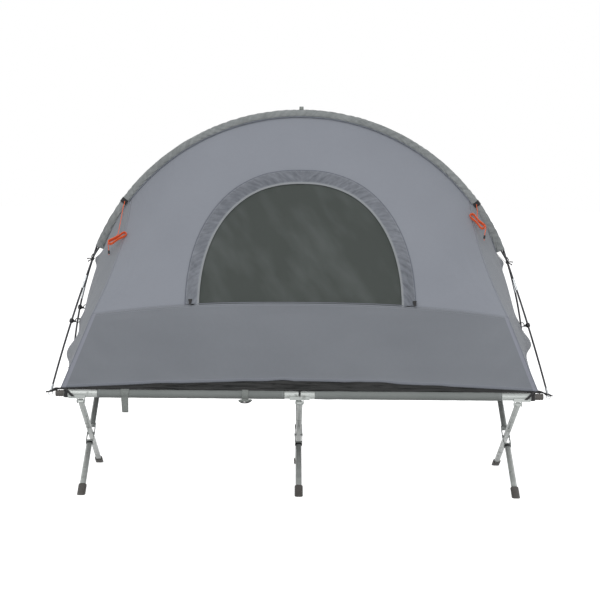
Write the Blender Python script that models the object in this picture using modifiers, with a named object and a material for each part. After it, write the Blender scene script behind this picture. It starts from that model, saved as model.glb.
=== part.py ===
"""Folding camp bed with a one-person tent standing on it.

The bed is two long rails on three pairs of crossed legs. Its width folds like scissors: the rear rail
is the fixed body, the forked legs hang from it, the through legs cross them, and the front rail
stands on the tops of the through legs. X runs along the bed, Y from front to rear, Z up. The origin
is on the floor under the middle of the bed. Lengths are in metres.
"""
import math

import bmesh
import bpy
from mathutils import Matrix, Vector

# Overall sizes
BED_LENGTH = 1.930
RAIL_SPACING = 0.830
RAIL_HEIGHT = 0.405
LEG_PAIR_INSET = 0.1005
FOOT_REACH = 0.405
FIT = 0.0003

# Rails, their end caps and their saddles
RAIL_RADIUS = 0.015
RAIL_WALL = 0.0015
RAIL_MIDDLE_GAP = 0.008
CAP_LENGTH = 0.034
CAP_RADIUS = 0.0130
CAP_CROWN = 0.0034
CAP_FLANGE = 0.002
CAP_PLUG = 0.022
CAP_RIBS = 3
CAP_RIB_LAND = 0.0045
CAP_RIB_DEPTH = 0.0009
SADDLE_WALL = 0.003
SADDLE_TOP_DROP = 0.005
SADDLE_INNER_REACH = 0.018
SADDLE_OUTER_REACH = 0.048
MIDDLE_SADDLE_LENGTH = 0.080
LUG_WALL = 0.003
LUG_RADIUS = 0.010
RAIL_PIN_RADIUS = 0.003
RAIL_PIN_HEAD_RADIUS = 0.0055
PIN_HEAD_HEIGHT = 0.002

# Legs and feet
LEG_WIDTH = 0.024
LEG_THICKNESS = 0.014
LEG_WALL = 0.0015
LEG_SIDE_GAP = 0.0005
LEG_TOP_REACH = 0.009
LEG_TURN_GAP = 0.0008
FORK_WALL = 0.003
FORK_HALF_LENGTH = 0.058
FORK_BLOCK_LENGTH = 0.012
FORK_TUBE_SETBACK = 0.004
FORK_THICKNESS = 0.016
CROSS_PIN_RADIUS = 0.004
CROSS_PIN_HEAD_RADIUS = 0.0065
COLLAR_LENGTH = 0.012
COLLAR_WALL = 0.002
FOOT_WIDTH = 0.033
FOOT_THICKNESS = 0.020
FOOT_LENGTH = 0.065
FOOT_LOW_LENGTH = 0.085
FOOT_SOLE = 0.003
GROUND_REACH = 0.2

# Bed cloth: a shallow tray with a sleeve round each half rail
CLOTH_THICKNESS = 0.003
TRAY_END_INSET = 0.017
TRAY_SIDE_OVERHANG = 0.0035
TRAY_RIM_MIDDLE = 0.040
TRAY_RIM_DROP = 0.034
TRAY_RIM_BOW = 1.5
TRAY_NOTCH_GAP = 0.004
SLEEVE_WALL = 0.002
SLEEVE_SADDLE_GAP = 0.020
SLEEVE_LEG_GAP = 0.0645

# Tent: ridge arc, panels and window
RIDGE_END_INSET = 0.059
RIDGE_CENTRE_RISE = 0.216
RIDGE_SLEEVE_HALF_WIDTH = 0.0135
RIDGE_SLEEVE_HALF_HEIGHT = 0.0155
RIDGE_SLEEVE_POLE_RISE = 0.008
RIDGE_SLEEVE_WALL = 0.0015
RIDGE_SLEEVE_FULLNESS = 0.7
RIDGE_SLEEVE_ANGLE = math.radians(67.8)
RIDGE_SLEEVE_WRINKLES = 12
RIDGE_SLEEVE_WRINKLE_DEPTH = 0.0006
PANEL_RIDGE_GAP = 0.0006
SEAM_TOP_INSET = 0.206
SEAM_CORNER_INSET = 0.1434
SEAM_BOW = 1.7
WALL_RISE = 0.364
WALL_HEIGHT_DROP = 0.050
WALL_HEIGHT_BOW = 2.5
WALL_PROUD = 0.0015
HEM_CORNER_INSET = 0.004
HEM_END_PROUD = 0.002
END_PANEL_INSET = 0.0045
END_PANEL_TOP_ROW = 0.35
END_PANEL_BOW = 0.85
END_HEM_GAP = 0.0015
WINDOW_HALF_WIDTH = 0.400
WINDOW_HEIGHT = 0.467
WINDOW_CORNER = 2.35
WINDOW_SILL_GAP = 0.006
NET_THICKNESS = 0.0015
FLAP_WIDTH = 0.060
FLAP_THICKNESS = 0.004
FLAP_LIFT = 0.0007

# Poles and the corner fittings
POLE_RADIUS = 0.004
POLE_SIDE_GAP = 0.0003
POLE_KNOT_ANGLE = math.radians(71.2)
POLE_TIP_REACH = 0.017
POLE_TIP_RISE = 0.009
POLE_SPLAY_BOW = 1.55
STRAP_WIDTH = 0.012
STRAP_THICKNESS = 0.0014
STRAP_BAND_WIDTH = 0.014
STRAP_BAND_WALL = 0.0017
STRAP_BAND_SETBACK = 0.008
TONGUE_LEVEL_RUN = 0.012
TONGUE_CAP_SETBACK = 0.002
TONGUE_CAP_GAP = 0.0014
EYELET_RADIUS = 0.0070
EYELET_THICKNESS = 0.0016
SPIGOT_RADIUS = 0.0020
SPIGOT_LENGTH = 0.014
SPIGOT_CHAMFER = 0.001
SHOULDER_RADIUS = 0.0040
SHOULDER_HEIGHT = 0.002
PULL_RING_RADIUS = 0.009
PULL_RING_WIRE = 0.0015
PULL_RING_SINK = 0.0017

# Guy ropes, their tabs and toggles
TAB_ANGLE = math.radians(53.8)
TAB_WRAP = math.radians(250)
TAB_WIDTH = 0.020
TAB_WALL = 0.0015
ROPE_RADIUS = 0.0015
ROPE_BEND = 0.008
HANK_HALF_LENGTH = 0.045
HANK_HALF_WIDTH = 0.0118
HANK_WAIST = 0.42
HANK_LAYERS = 4
HANK_LAYER_GAP = 0.00067
HANK_ENTRY = 0.014
HANK_ENTRY_LIFT = 0.5
HANK_EXIT = 0.006
TOGGLE_RADIUS = 0.0042
TOGGLE_LENGTH = 0.014
TOGGLE_BORE_GAP = 0.0006

# Facets of round shapes, rows of the panels and steps of the ropes
RAIL_SIDES = 20
PIN_SIDES = 8
CAP_SIDES = 10
OVAL_SIDES = 12
LUG_SIDES = 16
SPIGOT_SIDES = 8
PANEL_COLUMNS = 16
END_COLUMNS = 8
UPPER_ROWS = 6
LOWER_ROWS = 2
WINDOW_STEPS = 20
SPLAY_STEPS = 8
HANK_POINTS = 24
HANK_TAIL_POINTS = 4
ROUTE_SPACING = 0.010
ROUTE_FINE_STEPS = 12

# How far joined pieces run into each other, and how far cutters stand out of what they cut
JOIN_LAP = 0.001
CUT_MARGIN = 0.01

# Worked out from the sizes above
HALF_LENGTH = BED_LENGTH / 2
HALF_SPACING = RAIL_SPACING / 2
LEG_PAIR_OFFSET = HALF_LENGTH - LEG_PAIR_INSET
TUBE_END_X = HALF_LENGTH - CAP_LENGTH
LUG_INNER_X = LEG_WIDTH / 2 + LEG_SIDE_GAP
LUG_OUTER_X = LUG_INNER_X + LUG_WALL
FORK_OUTER_X = LUG_INNER_X + FORK_WALL
LEG_TOP_CORNER = math.hypot(LEG_TOP_REACH, LEG_THICKNESS / 2)
PIVOT_DROP = RAIL_RADIUS + FIT + SADDLE_WALL + LEG_TURN_GAP + LEG_TOP_CORNER
PIVOT_HEIGHT = RAIL_HEIGHT - PIVOT_DROP
LEG_SLOPE = math.atan2(PIVOT_HEIGHT, HALF_SPACING + FOOT_REACH)
CROSS_HEIGHT = FOOT_REACH * math.tan(LEG_SLOPE)
LEG_HALF = HALF_SPACING / math.cos(LEG_SLOPE)
LEG_FLOOR_REACH = CROSS_HEIGHT / math.sin(LEG_SLOPE)
LEG_TUBE_LOW = LEG_FLOOR_REACH - (
    LEG_THICKNESS / 2 * math.cos(LEG_SLOPE) + FOOT_SOLE + FIT
) / math.sin(LEG_SLOPE)
LEG_TUBE_HIGH = LEG_HALF + LEG_TOP_REACH
TRAY_HALF_LENGTH = HALF_LENGTH - TRAY_END_INSET
TRAY_HALF_WIDTH = HALF_SPACING + TRAY_SIDE_OVERHANG
TRAY_FLOOR_HEIGHT = RAIL_HEIGHT + RAIL_RADIUS + FIT
SLEEVE_INNER_END = MIDDLE_SADDLE_LENGTH / 2 + SLEEVE_SADDLE_GAP
SLEEVE_OUTER_END = LEG_PAIR_OFFSET - SLEEVE_LEG_GAP
RIDGE_RADIUS = HALF_LENGTH - RIDGE_END_INSET
RIDGE_CENTRE_HEIGHT = RAIL_HEIGHT + RIDGE_CENTRE_RISE
RIDGE_SLEEVE_RADIUS = RIDGE_RADIUS - RIDGE_SLEEVE_POLE_RISE
PANEL_RIDGE_RADIUS = RIDGE_SLEEVE_RADIUS - RIDGE_SLEEVE_HALF_HEIGHT - PANEL_RIDGE_GAP
RIDGE_END_HEIGHT = RIDGE_CENTRE_HEIGHT + PANEL_RIDGE_RADIUS * math.cos(RIDGE_SLEEVE_ANGLE)
SEAM_TOP_X = RIDGE_RADIUS - SEAM_TOP_INSET
SEAM_CORNER_X = HALF_LENGTH - SEAM_CORNER_INSET
WALL_HEIGHT_MIDDLE = RAIL_HEIGHT + WALL_RISE
WALL_Y = TRAY_HALF_WIDTH + WALL_PROUD
HEM_CORNER_X = TRAY_HALF_LENGTH - HEM_CORNER_INSET
HEM_END_X = TRAY_HALF_LENGTH + HEM_END_PROUD
POLE_SIDE = POLE_RADIUS + POLE_SIDE_GAP
POLE_TIP_X = HALF_LENGTH + POLE_TIP_REACH
POLE_TIP_Z = RAIL_HEIGHT + POLE_TIP_RISE
STRAP_BAND_RADIUS = RAIL_RADIUS + FIT + STRAP_BAND_WALL
STRAP_BAND_X = TUBE_END_X - STRAP_BAND_SETBACK
INSIDE_TENT = (0.0, 0.0, RAIL_HEIGHT + WALL_RISE / 2)

ALUMINIUM = ("aluminium", (0.55, 0.57, 0.55), 0.38, 0.9)
GREY_PLASTIC = ("grey_plastic", (0.092, 0.088, 0.080), 0.6, 0.0)
BLACK_PLASTIC = ("black_plastic", (0.012, 0.012, 0.012), 0.5, 0.0)
STEEL = ("steel", (0.50, 0.50, 0.50), 0.3, 1.0)
BED_CLOTH = ("bed_cloth", (0.032, 0.036, 0.034), 0.85, 0.0)
TENT_CLOTH = ("tent_cloth", (0.262, 0.279, 0.317), 0.75, 0.0)
TRIM_CLOTH = ("trim_cloth", (0.205, 0.223, 0.223), 0.8, 0.0)
NET = ("net", (0.088, 0.099, 0.094), 0.8, 0.0)
WEBBING = ("webbing", (0.014, 0.014, 0.015), 0.85, 0.0)
FIBREGLASS = ("fibreglass", (0.010, 0.010, 0.010), 0.35, 0.0)
ROPE = ("rope", (0.86, 0.13, 0.03), 0.75, 0.0)


def clear_scene():
    for old in list(bpy.data.objects):
        bpy.data.objects.remove(old, do_unlink=True)


clear_scene()
PARTS = bpy.data.collections.new("tent_cot")
CUTTERS = bpy.data.collections.new("tent_cot_cutters")
bpy.context.scene.collection.children.link(PARTS)
bpy.context.scene.collection.children.link(CUTTERS)


def own_material(name, finish):
    """A part's own material, so that each part can be recoloured alone."""
    word, colour, roughness, metallic = finish
    made = bpy.data.materials.new(name + "_" + word)
    made.use_nodes = True
    shader = made.node_tree.nodes["Principled BSDF"]
    shader.inputs["Base Color"].default_value = (*colour, 1.0)
    shader.inputs["Roughness"].default_value = roughness
    shader.inputs["Metallic"].default_value = metallic
    return made


def make_empty(name, place, parent=None):
    """An empty on a joint's axis; place is in the world, and nothing is turned at rest."""
    empty = bpy.data.objects.new(name, None)
    empty.empty_display_size = 0.05
    PARTS.objects.link(empty)
    empty.parent = parent
    empty.location = Vector(place)
    if parent:
        empty.location = Vector(place) - world_place(parent)
    return empty


def world_place(thing):
    """Where an unturned object of the tree stands in the world."""
    place = Vector(thing.location)
    while thing.parent:
        thing = thing.parent
        place = place + thing.location
    return place


def to_mesh(name, shape):
    """A mesh made of a bmesh, which is freed."""
    mesh = bpy.data.meshes.new(name)
    shape.to_mesh(mesh)
    shape.free()
    return mesh


def smooth(mesh, angle=35.0):
    mesh.shade_smooth()
    mesh.set_sharp_from_angle(angle=math.radians(angle))


def add_part(name, mesh, finish, parent, place=(0, 0, 0), turn_x=0.0, smooth_angle=35.0):
    """A named part of the model; place is in the world, and turn_x turns it about X."""
    part = bpy.data.objects.new(name, mesh)
    PARTS.objects.link(part)
    part.parent = parent
    part.location = Vector(place) - world_place(parent)
    part.rotation_euler = (turn_x, 0.0, 0.0)
    mesh.materials.append(own_material(name, finish))
    smooth(mesh, smooth_angle)
    return part


def add_cutter(name, mesh, part=None):
    """A hidden helper shape that follows the part it cuts or joins."""
    cutter = bpy.data.objects.new(name, mesh)
    CUTTERS.objects.link(cutter)
    cutter.hide_render = True
    cutter.display_type = "WIRE"
    if part:
        cutter.parent = part
    return cutter


def boolean(part, cutter, operation="DIFFERENCE"):
    step = part.modifiers.new(operation.lower() + "_" + cutter.name, "BOOLEAN")
    step.object = cutter
    step.operation = operation
    step.solver = "EXACT"
    return step


def solidify(part, thickness, offset=-1.0):
    step = part.modifiers.new("wall", "SOLIDIFY")
    step.thickness = thickness
    step.offset = offset
    step.use_even_offset = True
    step.use_quality_normals = True
    return step


def box_mesh(name, low, high):
    shape = bmesh.new()
    bmesh.ops.create_cube(shape, size=1.0)
    size = [high[i] - low[i] for i in range(3)]
    centre = [(high[i] + low[i]) / 2 for i in range(3)]
    bmesh.ops.scale(shape, vec=size, verts=shape.verts)
    bmesh.ops.translate(shape, vec=centre, verts=shape.verts)
    return to_mesh(name, shape)


def rod_mesh(name, radius, length, axis, place=(0, 0, 0), sides=PIN_SIDES, capped=True):
    """A cylinder centred on place, lying along X or standing along Z."""
    shape = bmesh.new()
    bmesh.ops.create_cone(
        shape, cap_ends=capped, segments=sides, radius1=radius, radius2=radius, depth=length
    )
    if axis == "X":
        turn = Matrix.Rotation(math.radians(90), 3, "Y")
        bmesh.ops.rotate(shape, verts=shape.verts, matrix=turn)
    bmesh.ops.translate(shape, vec=place, verts=shape.verts)
    return to_mesh(name, shape)


def turned_part(name, profile, finish, parent, place, sides, turn_y=math.radians(90)):
    """A part turned about its own axis; the profile is a list of radius and height along the axis."""
    shape = bmesh.new()
    corners = [shape.verts.new((radius, 0.0, height)) for radius, height in profile]
    for first, second in zip(corners, corners[1:]):
        shape.edges.new((first, second))
    mesh = to_mesh(name, shape)
    part = add_part(name, mesh, finish, parent, place)
    part.rotation_euler = (0.0, turn_y, 0.0)
    spin = part.modifiers.new("turn", "SCREW")
    spin.angle = math.radians(360)
    spin.steps = sides
    spin.render_steps = sides
    spin.use_merge_vertices = True
    spin.merge_threshold = 0.00001
    spin.use_smooth_shade = True
    return part


def rivet_profile(radius, head_radius, length):
    """A pin's outline from head to head, for a shank of the given length."""
    head_height = PIN_HEAD_HEIGHT
    half = length / 2
    rounding = head_height / 2
    return [
        (0.0, half + head_height),
        (head_radius - rounding, half + head_height),
        (head_radius, half + head_height - rounding),
        (head_radius, half),
        (radius, half),
        (radius, -half),
        (head_radius, -half),
        (head_radius, -half - head_height + rounding),
        (head_radius - rounding, -half - head_height),
        (0.0, -half - head_height),
    ]


def pin_hole(part, name, height, radius):
    """A hole along X at a height in the part's own frame, its flats clear of the turning pin."""
    length = 2 * (FORK_OUTER_X + CUT_MARGIN)
    corner_radius = (radius + FIT) / math.cos(math.pi / PIN_SIDES)
    hole = rod_mesh(name, corner_radius, length, "X", (0, 0, height))
    boolean(part, add_cutter(name, hole, part))


# Rails, end caps and saddles


def build_rail(name, side, y, parent):
    """One half of a rail, a thin tube from the gap at the bed's middle to its end cap."""
    inner = RAIL_MIDDLE_GAP / 2
    length = TUBE_END_X - inner
    mesh = rod_mesh(name, RAIL_RADIUS, length, "X", sides=RAIL_SIDES, capped=False)
    part = add_part(name, mesh, ALUMINIUM, parent, (side * (inner + length / 2), y, RAIL_HEIGHT))
    solidify(part, RAIL_WALL)
    return part


def build_rail_cap(name, side, y, parent):
    """A ribbed plastic knob that plugs the rail's end."""
    plug_radius = RAIL_RADIUS - RAIL_WALL - FIT
    flange_radius = RAIL_RADIUS - FIT
    flange_top = FIT + CAP_FLANGE
    groove = CAP_RADIUS - CAP_RIB_DEPTH
    slope = CAP_RIB_DEPTH / 2
    crown = CAP_LENGTH - CAP_CROWN
    pitch = (crown - flange_top) / CAP_RIBS
    profile = [(0.0, CAP_LENGTH), (CAP_RADIUS - CAP_CROWN, CAP_LENGTH)]
    for rib in range(CAP_RIBS):
        top = crown - rib * pitch
        profile.append((CAP_RADIUS, top))
        profile.append((CAP_RADIUS, top - CAP_RIB_LAND))
        profile.append((groove, top - CAP_RIB_LAND - slope))
        if rib < CAP_RIBS - 1:
            profile.append((groove, top - pitch + slope))
    profile += [
        (groove, flange_top),
        (flange_radius, flange_top),
        (flange_radius, FIT),
        (plug_radius, FIT),
        (plug_radius, -CAP_PLUG),
        (0.0, -CAP_PLUG),
    ]
    place = (side * TUBE_END_X, y, RAIL_HEIGHT)
    return turned_part(name, profile, GREY_PLASTIC, parent, place, CAP_SIDES, math.radians(90) * side)


def build_saddle(name, x, y, low_reach, high_reach, parent):
    """A cradle under the rail with two lugs that hold the top of a leg."""
    outer = RAIL_RADIUS + FIT + SADDLE_WALL
    mesh = box_mesh(name, (-low_reach, -outer, -outer), (high_reach, outer, -SADDLE_TOP_DROP))
    part = add_part(name, mesh, ALUMINIUM, parent, (x, y, RAIL_HEIGHT))
    for side, word in ((-1, "left"), (1, "right")):
        near, far = sorted((side * LUG_INNER_X, side * LUG_OUTER_X))
        plate = box_mesh(name, (near, -LUG_RADIUS, -PIVOT_DROP), (far, LUG_RADIUS, -outer + JOIN_LAP))
        boolean(part, add_cutter(name + "_plate_" + word, plate, part), "UNION")
        eye = rod_mesh(name, LUG_RADIUS, LUG_WALL, "X", ((near + far) / 2, 0, -PIVOT_DROP), LUG_SIDES)
        boolean(part, add_cutter(name + "_eye_" + word, eye, part), "UNION")
    span = low_reach + high_reach + 2 * CUT_MARGIN
    groove_place = ((high_reach - low_reach) / 2, 0, 0)
    groove = rod_mesh(name, RAIL_RADIUS + FIT, span, "X", groove_place, RAIL_SIDES)
    boolean(part, add_cutter(name + "_groove", groove, part))
    pin_hole(part, name + "_hole", -PIVOT_DROP, RAIL_PIN_RADIUS)
    return part


def build_rail_pin(name, x, y, parent):
    """The headed pin on which a leg turns under its rail."""
    profile = rivet_profile(RAIL_PIN_RADIUS, RAIL_PIN_HEAD_RADIUS, 2 * (LUG_OUTER_X + FIT))
    return turned_part(name, profile, STEEL, parent, (x, y, PIVOT_HEIGHT), PIN_SIDES)


# Legs


def oval_ring(shape, width, thickness, height, sides=OVAL_SIDES):
    """A ring of corners of a flat tube's rounded section, at a height along the leg."""
    radius = thickness / 2
    straight = width / 2 - radius
    ring = []
    for step in range(sides):
        angle = math.radians(360) * (step + 0.5) / sides
        shift = straight if math.cos(angle) > 0 else -straight
        x = shift + radius * math.cos(angle)
        ring.append(shape.verts.new((x, radius * math.sin(angle), height)))
    return ring


def oval_tube_mesh(name, width, thickness, low, high, capped):
    """A flat tube along Z, open at its ends or capped."""
    shape = bmesh.new()
    ring = oval_ring(shape, width, thickness, low)
    edges = [shape.edges.new((ring[i], ring[(i + 1) % len(ring)])) for i in range(len(ring))]
    if capped:
        shape.faces.new(ring)
    out = bmesh.ops.extrude_edge_only(shape, edges=edges)
    top = [v for v in out["geom"] if isinstance(v, bmesh.types.BMVert)]
    bmesh.ops.translate(shape, vec=(0, 0, high - low), verts=top)
    if capped:
        bmesh.ops.contextual_create(shape, geom=[e for e in out["geom"] if isinstance(e, bmesh.types.BMEdge)])
    bmesh.ops.recalc_face_normals(shape, faces=shape.faces)
    return to_mesh(name, shape)


def build_through_leg(name, x, parent):
    """The leg that passes through the fork, from the front rail down to the rear foot."""
    mesh = oval_tube_mesh(name, LEG_WIDTH, LEG_THICKNESS, -LEG_TUBE_LOW, LEG_TUBE_HIGH, False)
    part = add_part(name, mesh, ALUMINIUM, parent, (x, 0, CROSS_HEIGHT), math.radians(90) - LEG_SLOPE)
    solidify(part, LEG_WALL)
    pin_hole(part, name + "_rail_hole", LEG_HALF, RAIL_PIN_RADIUS)
    pin_hole(part, name + "_cross_hole", 0.0, CROSS_PIN_RADIUS)
    return part


def build_forked_leg(name, x, parent):
    """The leg with a fork round the through leg, from the rear rail down to the front foot."""
    half = FORK_THICKNESS / 2
    reach = FORK_HALF_LENGTH + FORK_BLOCK_LENGTH
    tube_end = FORK_HALF_LENGTH + FORK_TUBE_SETBACK
    turn = LEG_SLOPE - math.radians(90)
    mesh = oval_tube_mesh(name, LEG_WIDTH, LEG_THICKNESS, tube_end, LEG_TUBE_HIGH, False)
    part = add_part(name, mesh, ALUMINIUM, parent, (x, 0, CROSS_HEIGHT), turn)
    solidify(part, LEG_WALL)
    block = box_mesh(name, (-FORK_OUTER_X, -half, -reach), (FORK_OUTER_X, half, reach))
    fork = add_cutter(name + "_fork", block, part)
    slot_low = (-LUG_INNER_X, -half - CUT_MARGIN, -FORK_HALF_LENGTH)
    slot = box_mesh(name, slot_low, (LUG_INNER_X, half + CUT_MARGIN, FORK_HALF_LENGTH))
    boolean(fork, add_cutter(name + "_slot", slot, fork))
    boolean(part, fork, "UNION")
    low_mesh = oval_tube_mesh(name, LEG_WIDTH, LEG_THICKNESS, -LEG_TUBE_LOW, -tube_end, False)
    lower = add_cutter(name + "_lower", low_mesh, part)
    solidify(lower, LEG_WALL)
    boolean(part, lower, "UNION")
    pin_hole(part, name + "_rail_hole", LEG_HALF, RAIL_PIN_RADIUS)
    pin_hole(part, name + "_cross_hole", 0.0, CROSS_PIN_RADIUS)
    return part


def build_cross_pin(name, x, parent):
    """The rivet on which the two legs of a pair cross."""
    profile = rivet_profile(CROSS_PIN_RADIUS, CROSS_PIN_HEAD_RADIUS, 2 * (FORK_OUTER_X + FIT))
    return turned_part(name, profile, STEEL, parent, (x, 0, CROSS_HEIGHT), PIN_SIDES)


def build_collar(name, x, parent):
    """The black ring that closes the lower end of the fork."""
    top = -(FORK_HALF_LENGTH + FORK_BLOCK_LENGTH + FIT)
    width = LEG_WIDTH + 2 * (FIT + COLLAR_WALL)
    thickness = LEG_THICKNESS + 2 * (FIT + COLLAR_WALL)
    mesh = oval_tube_mesh(name, width, thickness, top - COLLAR_LENGTH, top, False)
    turn = LEG_SLOPE - math.radians(90)
    part = add_part(name, mesh, BLACK_PLASTIC, parent, (x, 0, CROSS_HEIGHT), turn)
    solidify(part, COLLAR_WALL)
    return part


def build_foot(name, x, end, parent):
    """A plastic boot on a leg's lower end, flat where it meets the floor; end is -1 at the front."""
    turn = end * (math.radians(90) - LEG_SLOPE)
    top = -LEG_FLOOR_REACH + FOOT_LENGTH
    low = -LEG_FLOOR_REACH - FOOT_LOW_LENGTH
    mesh = oval_tube_mesh(name, FOOT_WIDTH, FOOT_THICKNESS, low, top, True)
    part = add_part(name, mesh, GREY_PLASTIC, parent, (x, 0, CROSS_HEIGHT), turn)
    width = LEG_WIDTH + 2 * FIT
    thickness = LEG_THICKNESS + 2 * FIT
    socket = oval_tube_mesh(name, width, thickness, -LEG_TUBE_LOW - FIT, top + CUT_MARGIN, True)
    boolean(part, add_cutter(name + "_socket", socket, part))
    ground = box_mesh(name, (-FOOT_WIDTH, -GROUND_REACH, -GROUND_REACH), (FOOT_WIDTH, GROUND_REACH, 0.0))
    floor = add_cutter(name + "_ground", ground)
    floor.location = (x, end * FOOT_REACH, 0.0)
    boolean(part, floor)
    return part


# Bed cloth


def rim_height(x):
    """How high the black rim of the bed cloth stands at a place along the bed."""
    share = abs(x) / TRAY_HALF_LENGTH
    return TRAY_FLOOR_HEIGHT + TRAY_RIM_MIDDLE - TRAY_RIM_DROP * share**TRAY_RIM_BOW


def build_bed_cloth(parent):
    """The bed's cloth, a shallow tray with a sleeve sewn round each half rail."""
    name = "bed_cloth"
    shape = bmesh.new()
    bmesh.ops.create_grid(shape, x_segments=10, y_segments=2, size=1.0)
    bmesh.ops.scale(shape, vec=(TRAY_HALF_LENGTH, TRAY_HALF_WIDTH, 1.0), verts=shape.verts)
    border = [edge for edge in shape.edges if edge.is_boundary]
    out = bmesh.ops.extrude_edge_only(shape, edges=border)
    for corner in out["geom"]:
        if isinstance(corner, bmesh.types.BMVert):
            corner.co.z = rim_height(corner.co.x) - TRAY_FLOOR_HEIGHT
    bmesh.ops.recalc_face_normals(shape, faces=shape.faces)
    floor_up = next(face for face in shape.faces if abs(face.calc_center_median().z) < 1e-6)
    if floor_up.normal.z > 0:
        bmesh.ops.reverse_faces(shape, faces=shape.faces)
    part = add_part(name, to_mesh(name, shape), BED_CLOTH, parent, (0, 0, TRAY_FLOOR_HEIGHT))
    solidify(part, CLOTH_THICKNESS)
    for y_side, y_word in ((-1, "front"), (1, "rear")):
        for x_side, x_word in ((-1, "left"), (1, "right")):
            word = y_word + "_" + x_word
            middle = x_side * (SLEEVE_INNER_END + SLEEVE_OUTER_END) / 2
            place = (middle, y_side * HALF_SPACING, RAIL_HEIGHT - TRAY_FLOOR_HEIGHT)
            length = SLEEVE_OUTER_END - SLEEVE_INNER_END
            bore_radius = RAIL_RADIUS + FIT
            outer = rod_mesh(name, bore_radius + SLEEVE_WALL, length, "X", place, RAIL_SIDES)
            bore = rod_mesh(name, bore_radius, length + 2 * CUT_MARGIN, "X", place, RAIL_SIDES)
            sleeve = add_cutter(name + "_sleeve_" + word, outer, part)
            boolean(sleeve, add_cutter(name + "_bore_" + word, bore, part))
            boolean(part, sleeve, "UNION")
            notch = corner_notch_mesh(name, x_side, y_side)
            boolean(part, add_cutter(name + "_notch_" + word, notch, part))
    return part


def corner_notch_mesh(name, x_side, y_side):
    """A block over a corner of the tray, where the corner strap wraps the rail."""
    near_x = STRAP_BAND_X - STRAP_BAND_WIDTH / 2 - TRAY_NOTCH_GAP
    x_ends = sorted((x_side * near_x, x_side * (TRAY_HALF_LENGTH + CUT_MARGIN)))
    near_y = HALF_SPACING - STRAP_BAND_RADIUS
    y_ends = sorted((y_side * near_y, y_side * (TRAY_HALF_WIDTH + CUT_MARGIN)))
    high = TRAY_RIM_MIDDLE + CUT_MARGIN
    return box_mesh(name, (x_ends[0], y_ends[0], -CUT_MARGIN), (x_ends[1], y_ends[1], high))


# Tent panels


def ridge_height(x):
    """Height of the ridge line of the panels above a place along the bed."""
    return RIDGE_CENTRE_HEIGHT + math.sqrt(PANEL_RIDGE_RADIUS**2 - x**2)


def wall_height(share):
    """Height of the seam along the top of the low front wall; share runs from -1 to 1."""
    return WALL_HEIGHT_MIDDLE - WALL_HEIGHT_DROP * abs(share) ** WALL_HEIGHT_BOW


def seam_x(drop):
    """How far out the corner seam lies; drop runs from 0 at the ridge to 1 at the wall's top."""
    return SEAM_TOP_X + (SEAM_CORNER_X - SEAM_TOP_X) * drop**SEAM_BOW


def side_point(share, row, ridge_y):
    """A point of the front panel, from the ridge at row 0 down over the wall's top to the hem."""
    hem_x = HEM_CORNER_X * share
    if row <= UPPER_ROWS:
        drop = row / UPPER_ROWS
        x = seam_x(drop) * share
        top = ridge_height(SEAM_TOP_X * share)
        y = -ridge_y - (WALL_Y - ridge_y) * drop
        return Vector((x, y, top + (wall_height(share) - top) * drop))
    fall = (row - UPPER_ROWS) / LOWER_ROWS
    top_x = SEAM_CORNER_X * share
    low = rim_height(hem_x) + FIT
    x = top_x + (hem_x - top_x) * fall
    y = -WALL_Y + (WALL_Y - TRAY_HALF_WIDTH) * fall
    return Vector((x, y, wall_height(share) + (low - wall_height(share)) * fall))


def grid_shape(columns, rows, point):
    """A grid of squares bent to a surface; point gives a place for a column and a row."""
    shape = bmesh.new()
    bmesh.ops.create_grid(shape, x_segments=columns, y_segments=rows, size=0.5)
    for corner in shape.verts:
        column = round((corner.co.x + 0.5) * columns)
        row = round((0.5 - corner.co.y) * rows)
        corner.co = point(column, row)
    return shape


def face_outwards(shape):
    """Turn an open surface so that its faces look away from the inside of the tent."""
    bmesh.ops.recalc_face_normals(shape, faces=shape.faces)
    face = max(shape.faces, key=lambda f: f.calc_area())
    if face.normal.dot(face.calc_center_median() - Vector(INSIDE_TENT)) < 0:
        bmesh.ops.reverse_faces(shape, faces=shape.faces)


def front_surface(name, proud=0.0):
    """The open surface of the front panel, standing proud of the cloth by a given height."""
    ridge_y = CLOTH_THICKNESS + FIT

    def point(column, row):
        return side_point(2 * column / PANEL_COLUMNS - 1, row, ridge_y)

    shape = grid_shape(PANEL_COLUMNS, UPPER_ROWS + LOWER_ROWS, point)
    bmesh.ops.triangulate(shape, faces=shape.faces)
    face_outwards(shape)
    shape.normal_update()
    if proud:
        moves = [(corner, corner.normal * proud) for corner in shape.verts]
        for corner, move in moves:
            corner.co += move
    return to_mesh(name, shape)


def window_curve(half_width, top, sill):
    """The arch of the window from one foot of the sill to the other."""
    points = []
    for step in range(WINDOW_STEPS + 1):
        angle = math.radians(180) * step / WINDOW_STEPS
        x = half_width * math.copysign(abs(math.cos(angle)) ** (2 / WINDOW_CORNER), math.cos(angle))
        z = (top - sill) * math.sin(angle) ** (2 / WINDOW_CORNER)
        points.append((x, sill + z))
    return points


def window_prism(name, grow, sill_grow):
    """A prism through the front panel over the window's outline, grown all round."""
    sill = WALL_HEIGHT_MIDDLE + WINDOW_SILL_GAP - sill_grow
    top = WALL_HEIGHT_MIDDLE + WINDOW_HEIGHT + grow
    shape = bmesh.new()
    outline = window_curve(WINDOW_HALF_WIDTH + grow, top, sill)
    ring = [shape.verts.new((x, -WALL_Y - CUT_MARGIN, z)) for x, z in outline]
    face = shape.faces.new(ring)
    out = bmesh.ops.extrude_face_region(shape, geom=[face])
    moved = [v for v in out["geom"] if isinstance(v, bmesh.types.BMVert)]
    bmesh.ops.translate(shape, vec=(0, WALL_Y, 0), verts=moved)
    bmesh.ops.recalc_face_normals(shape, faces=shape.faces)
    return to_mesh(name, shape)


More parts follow.
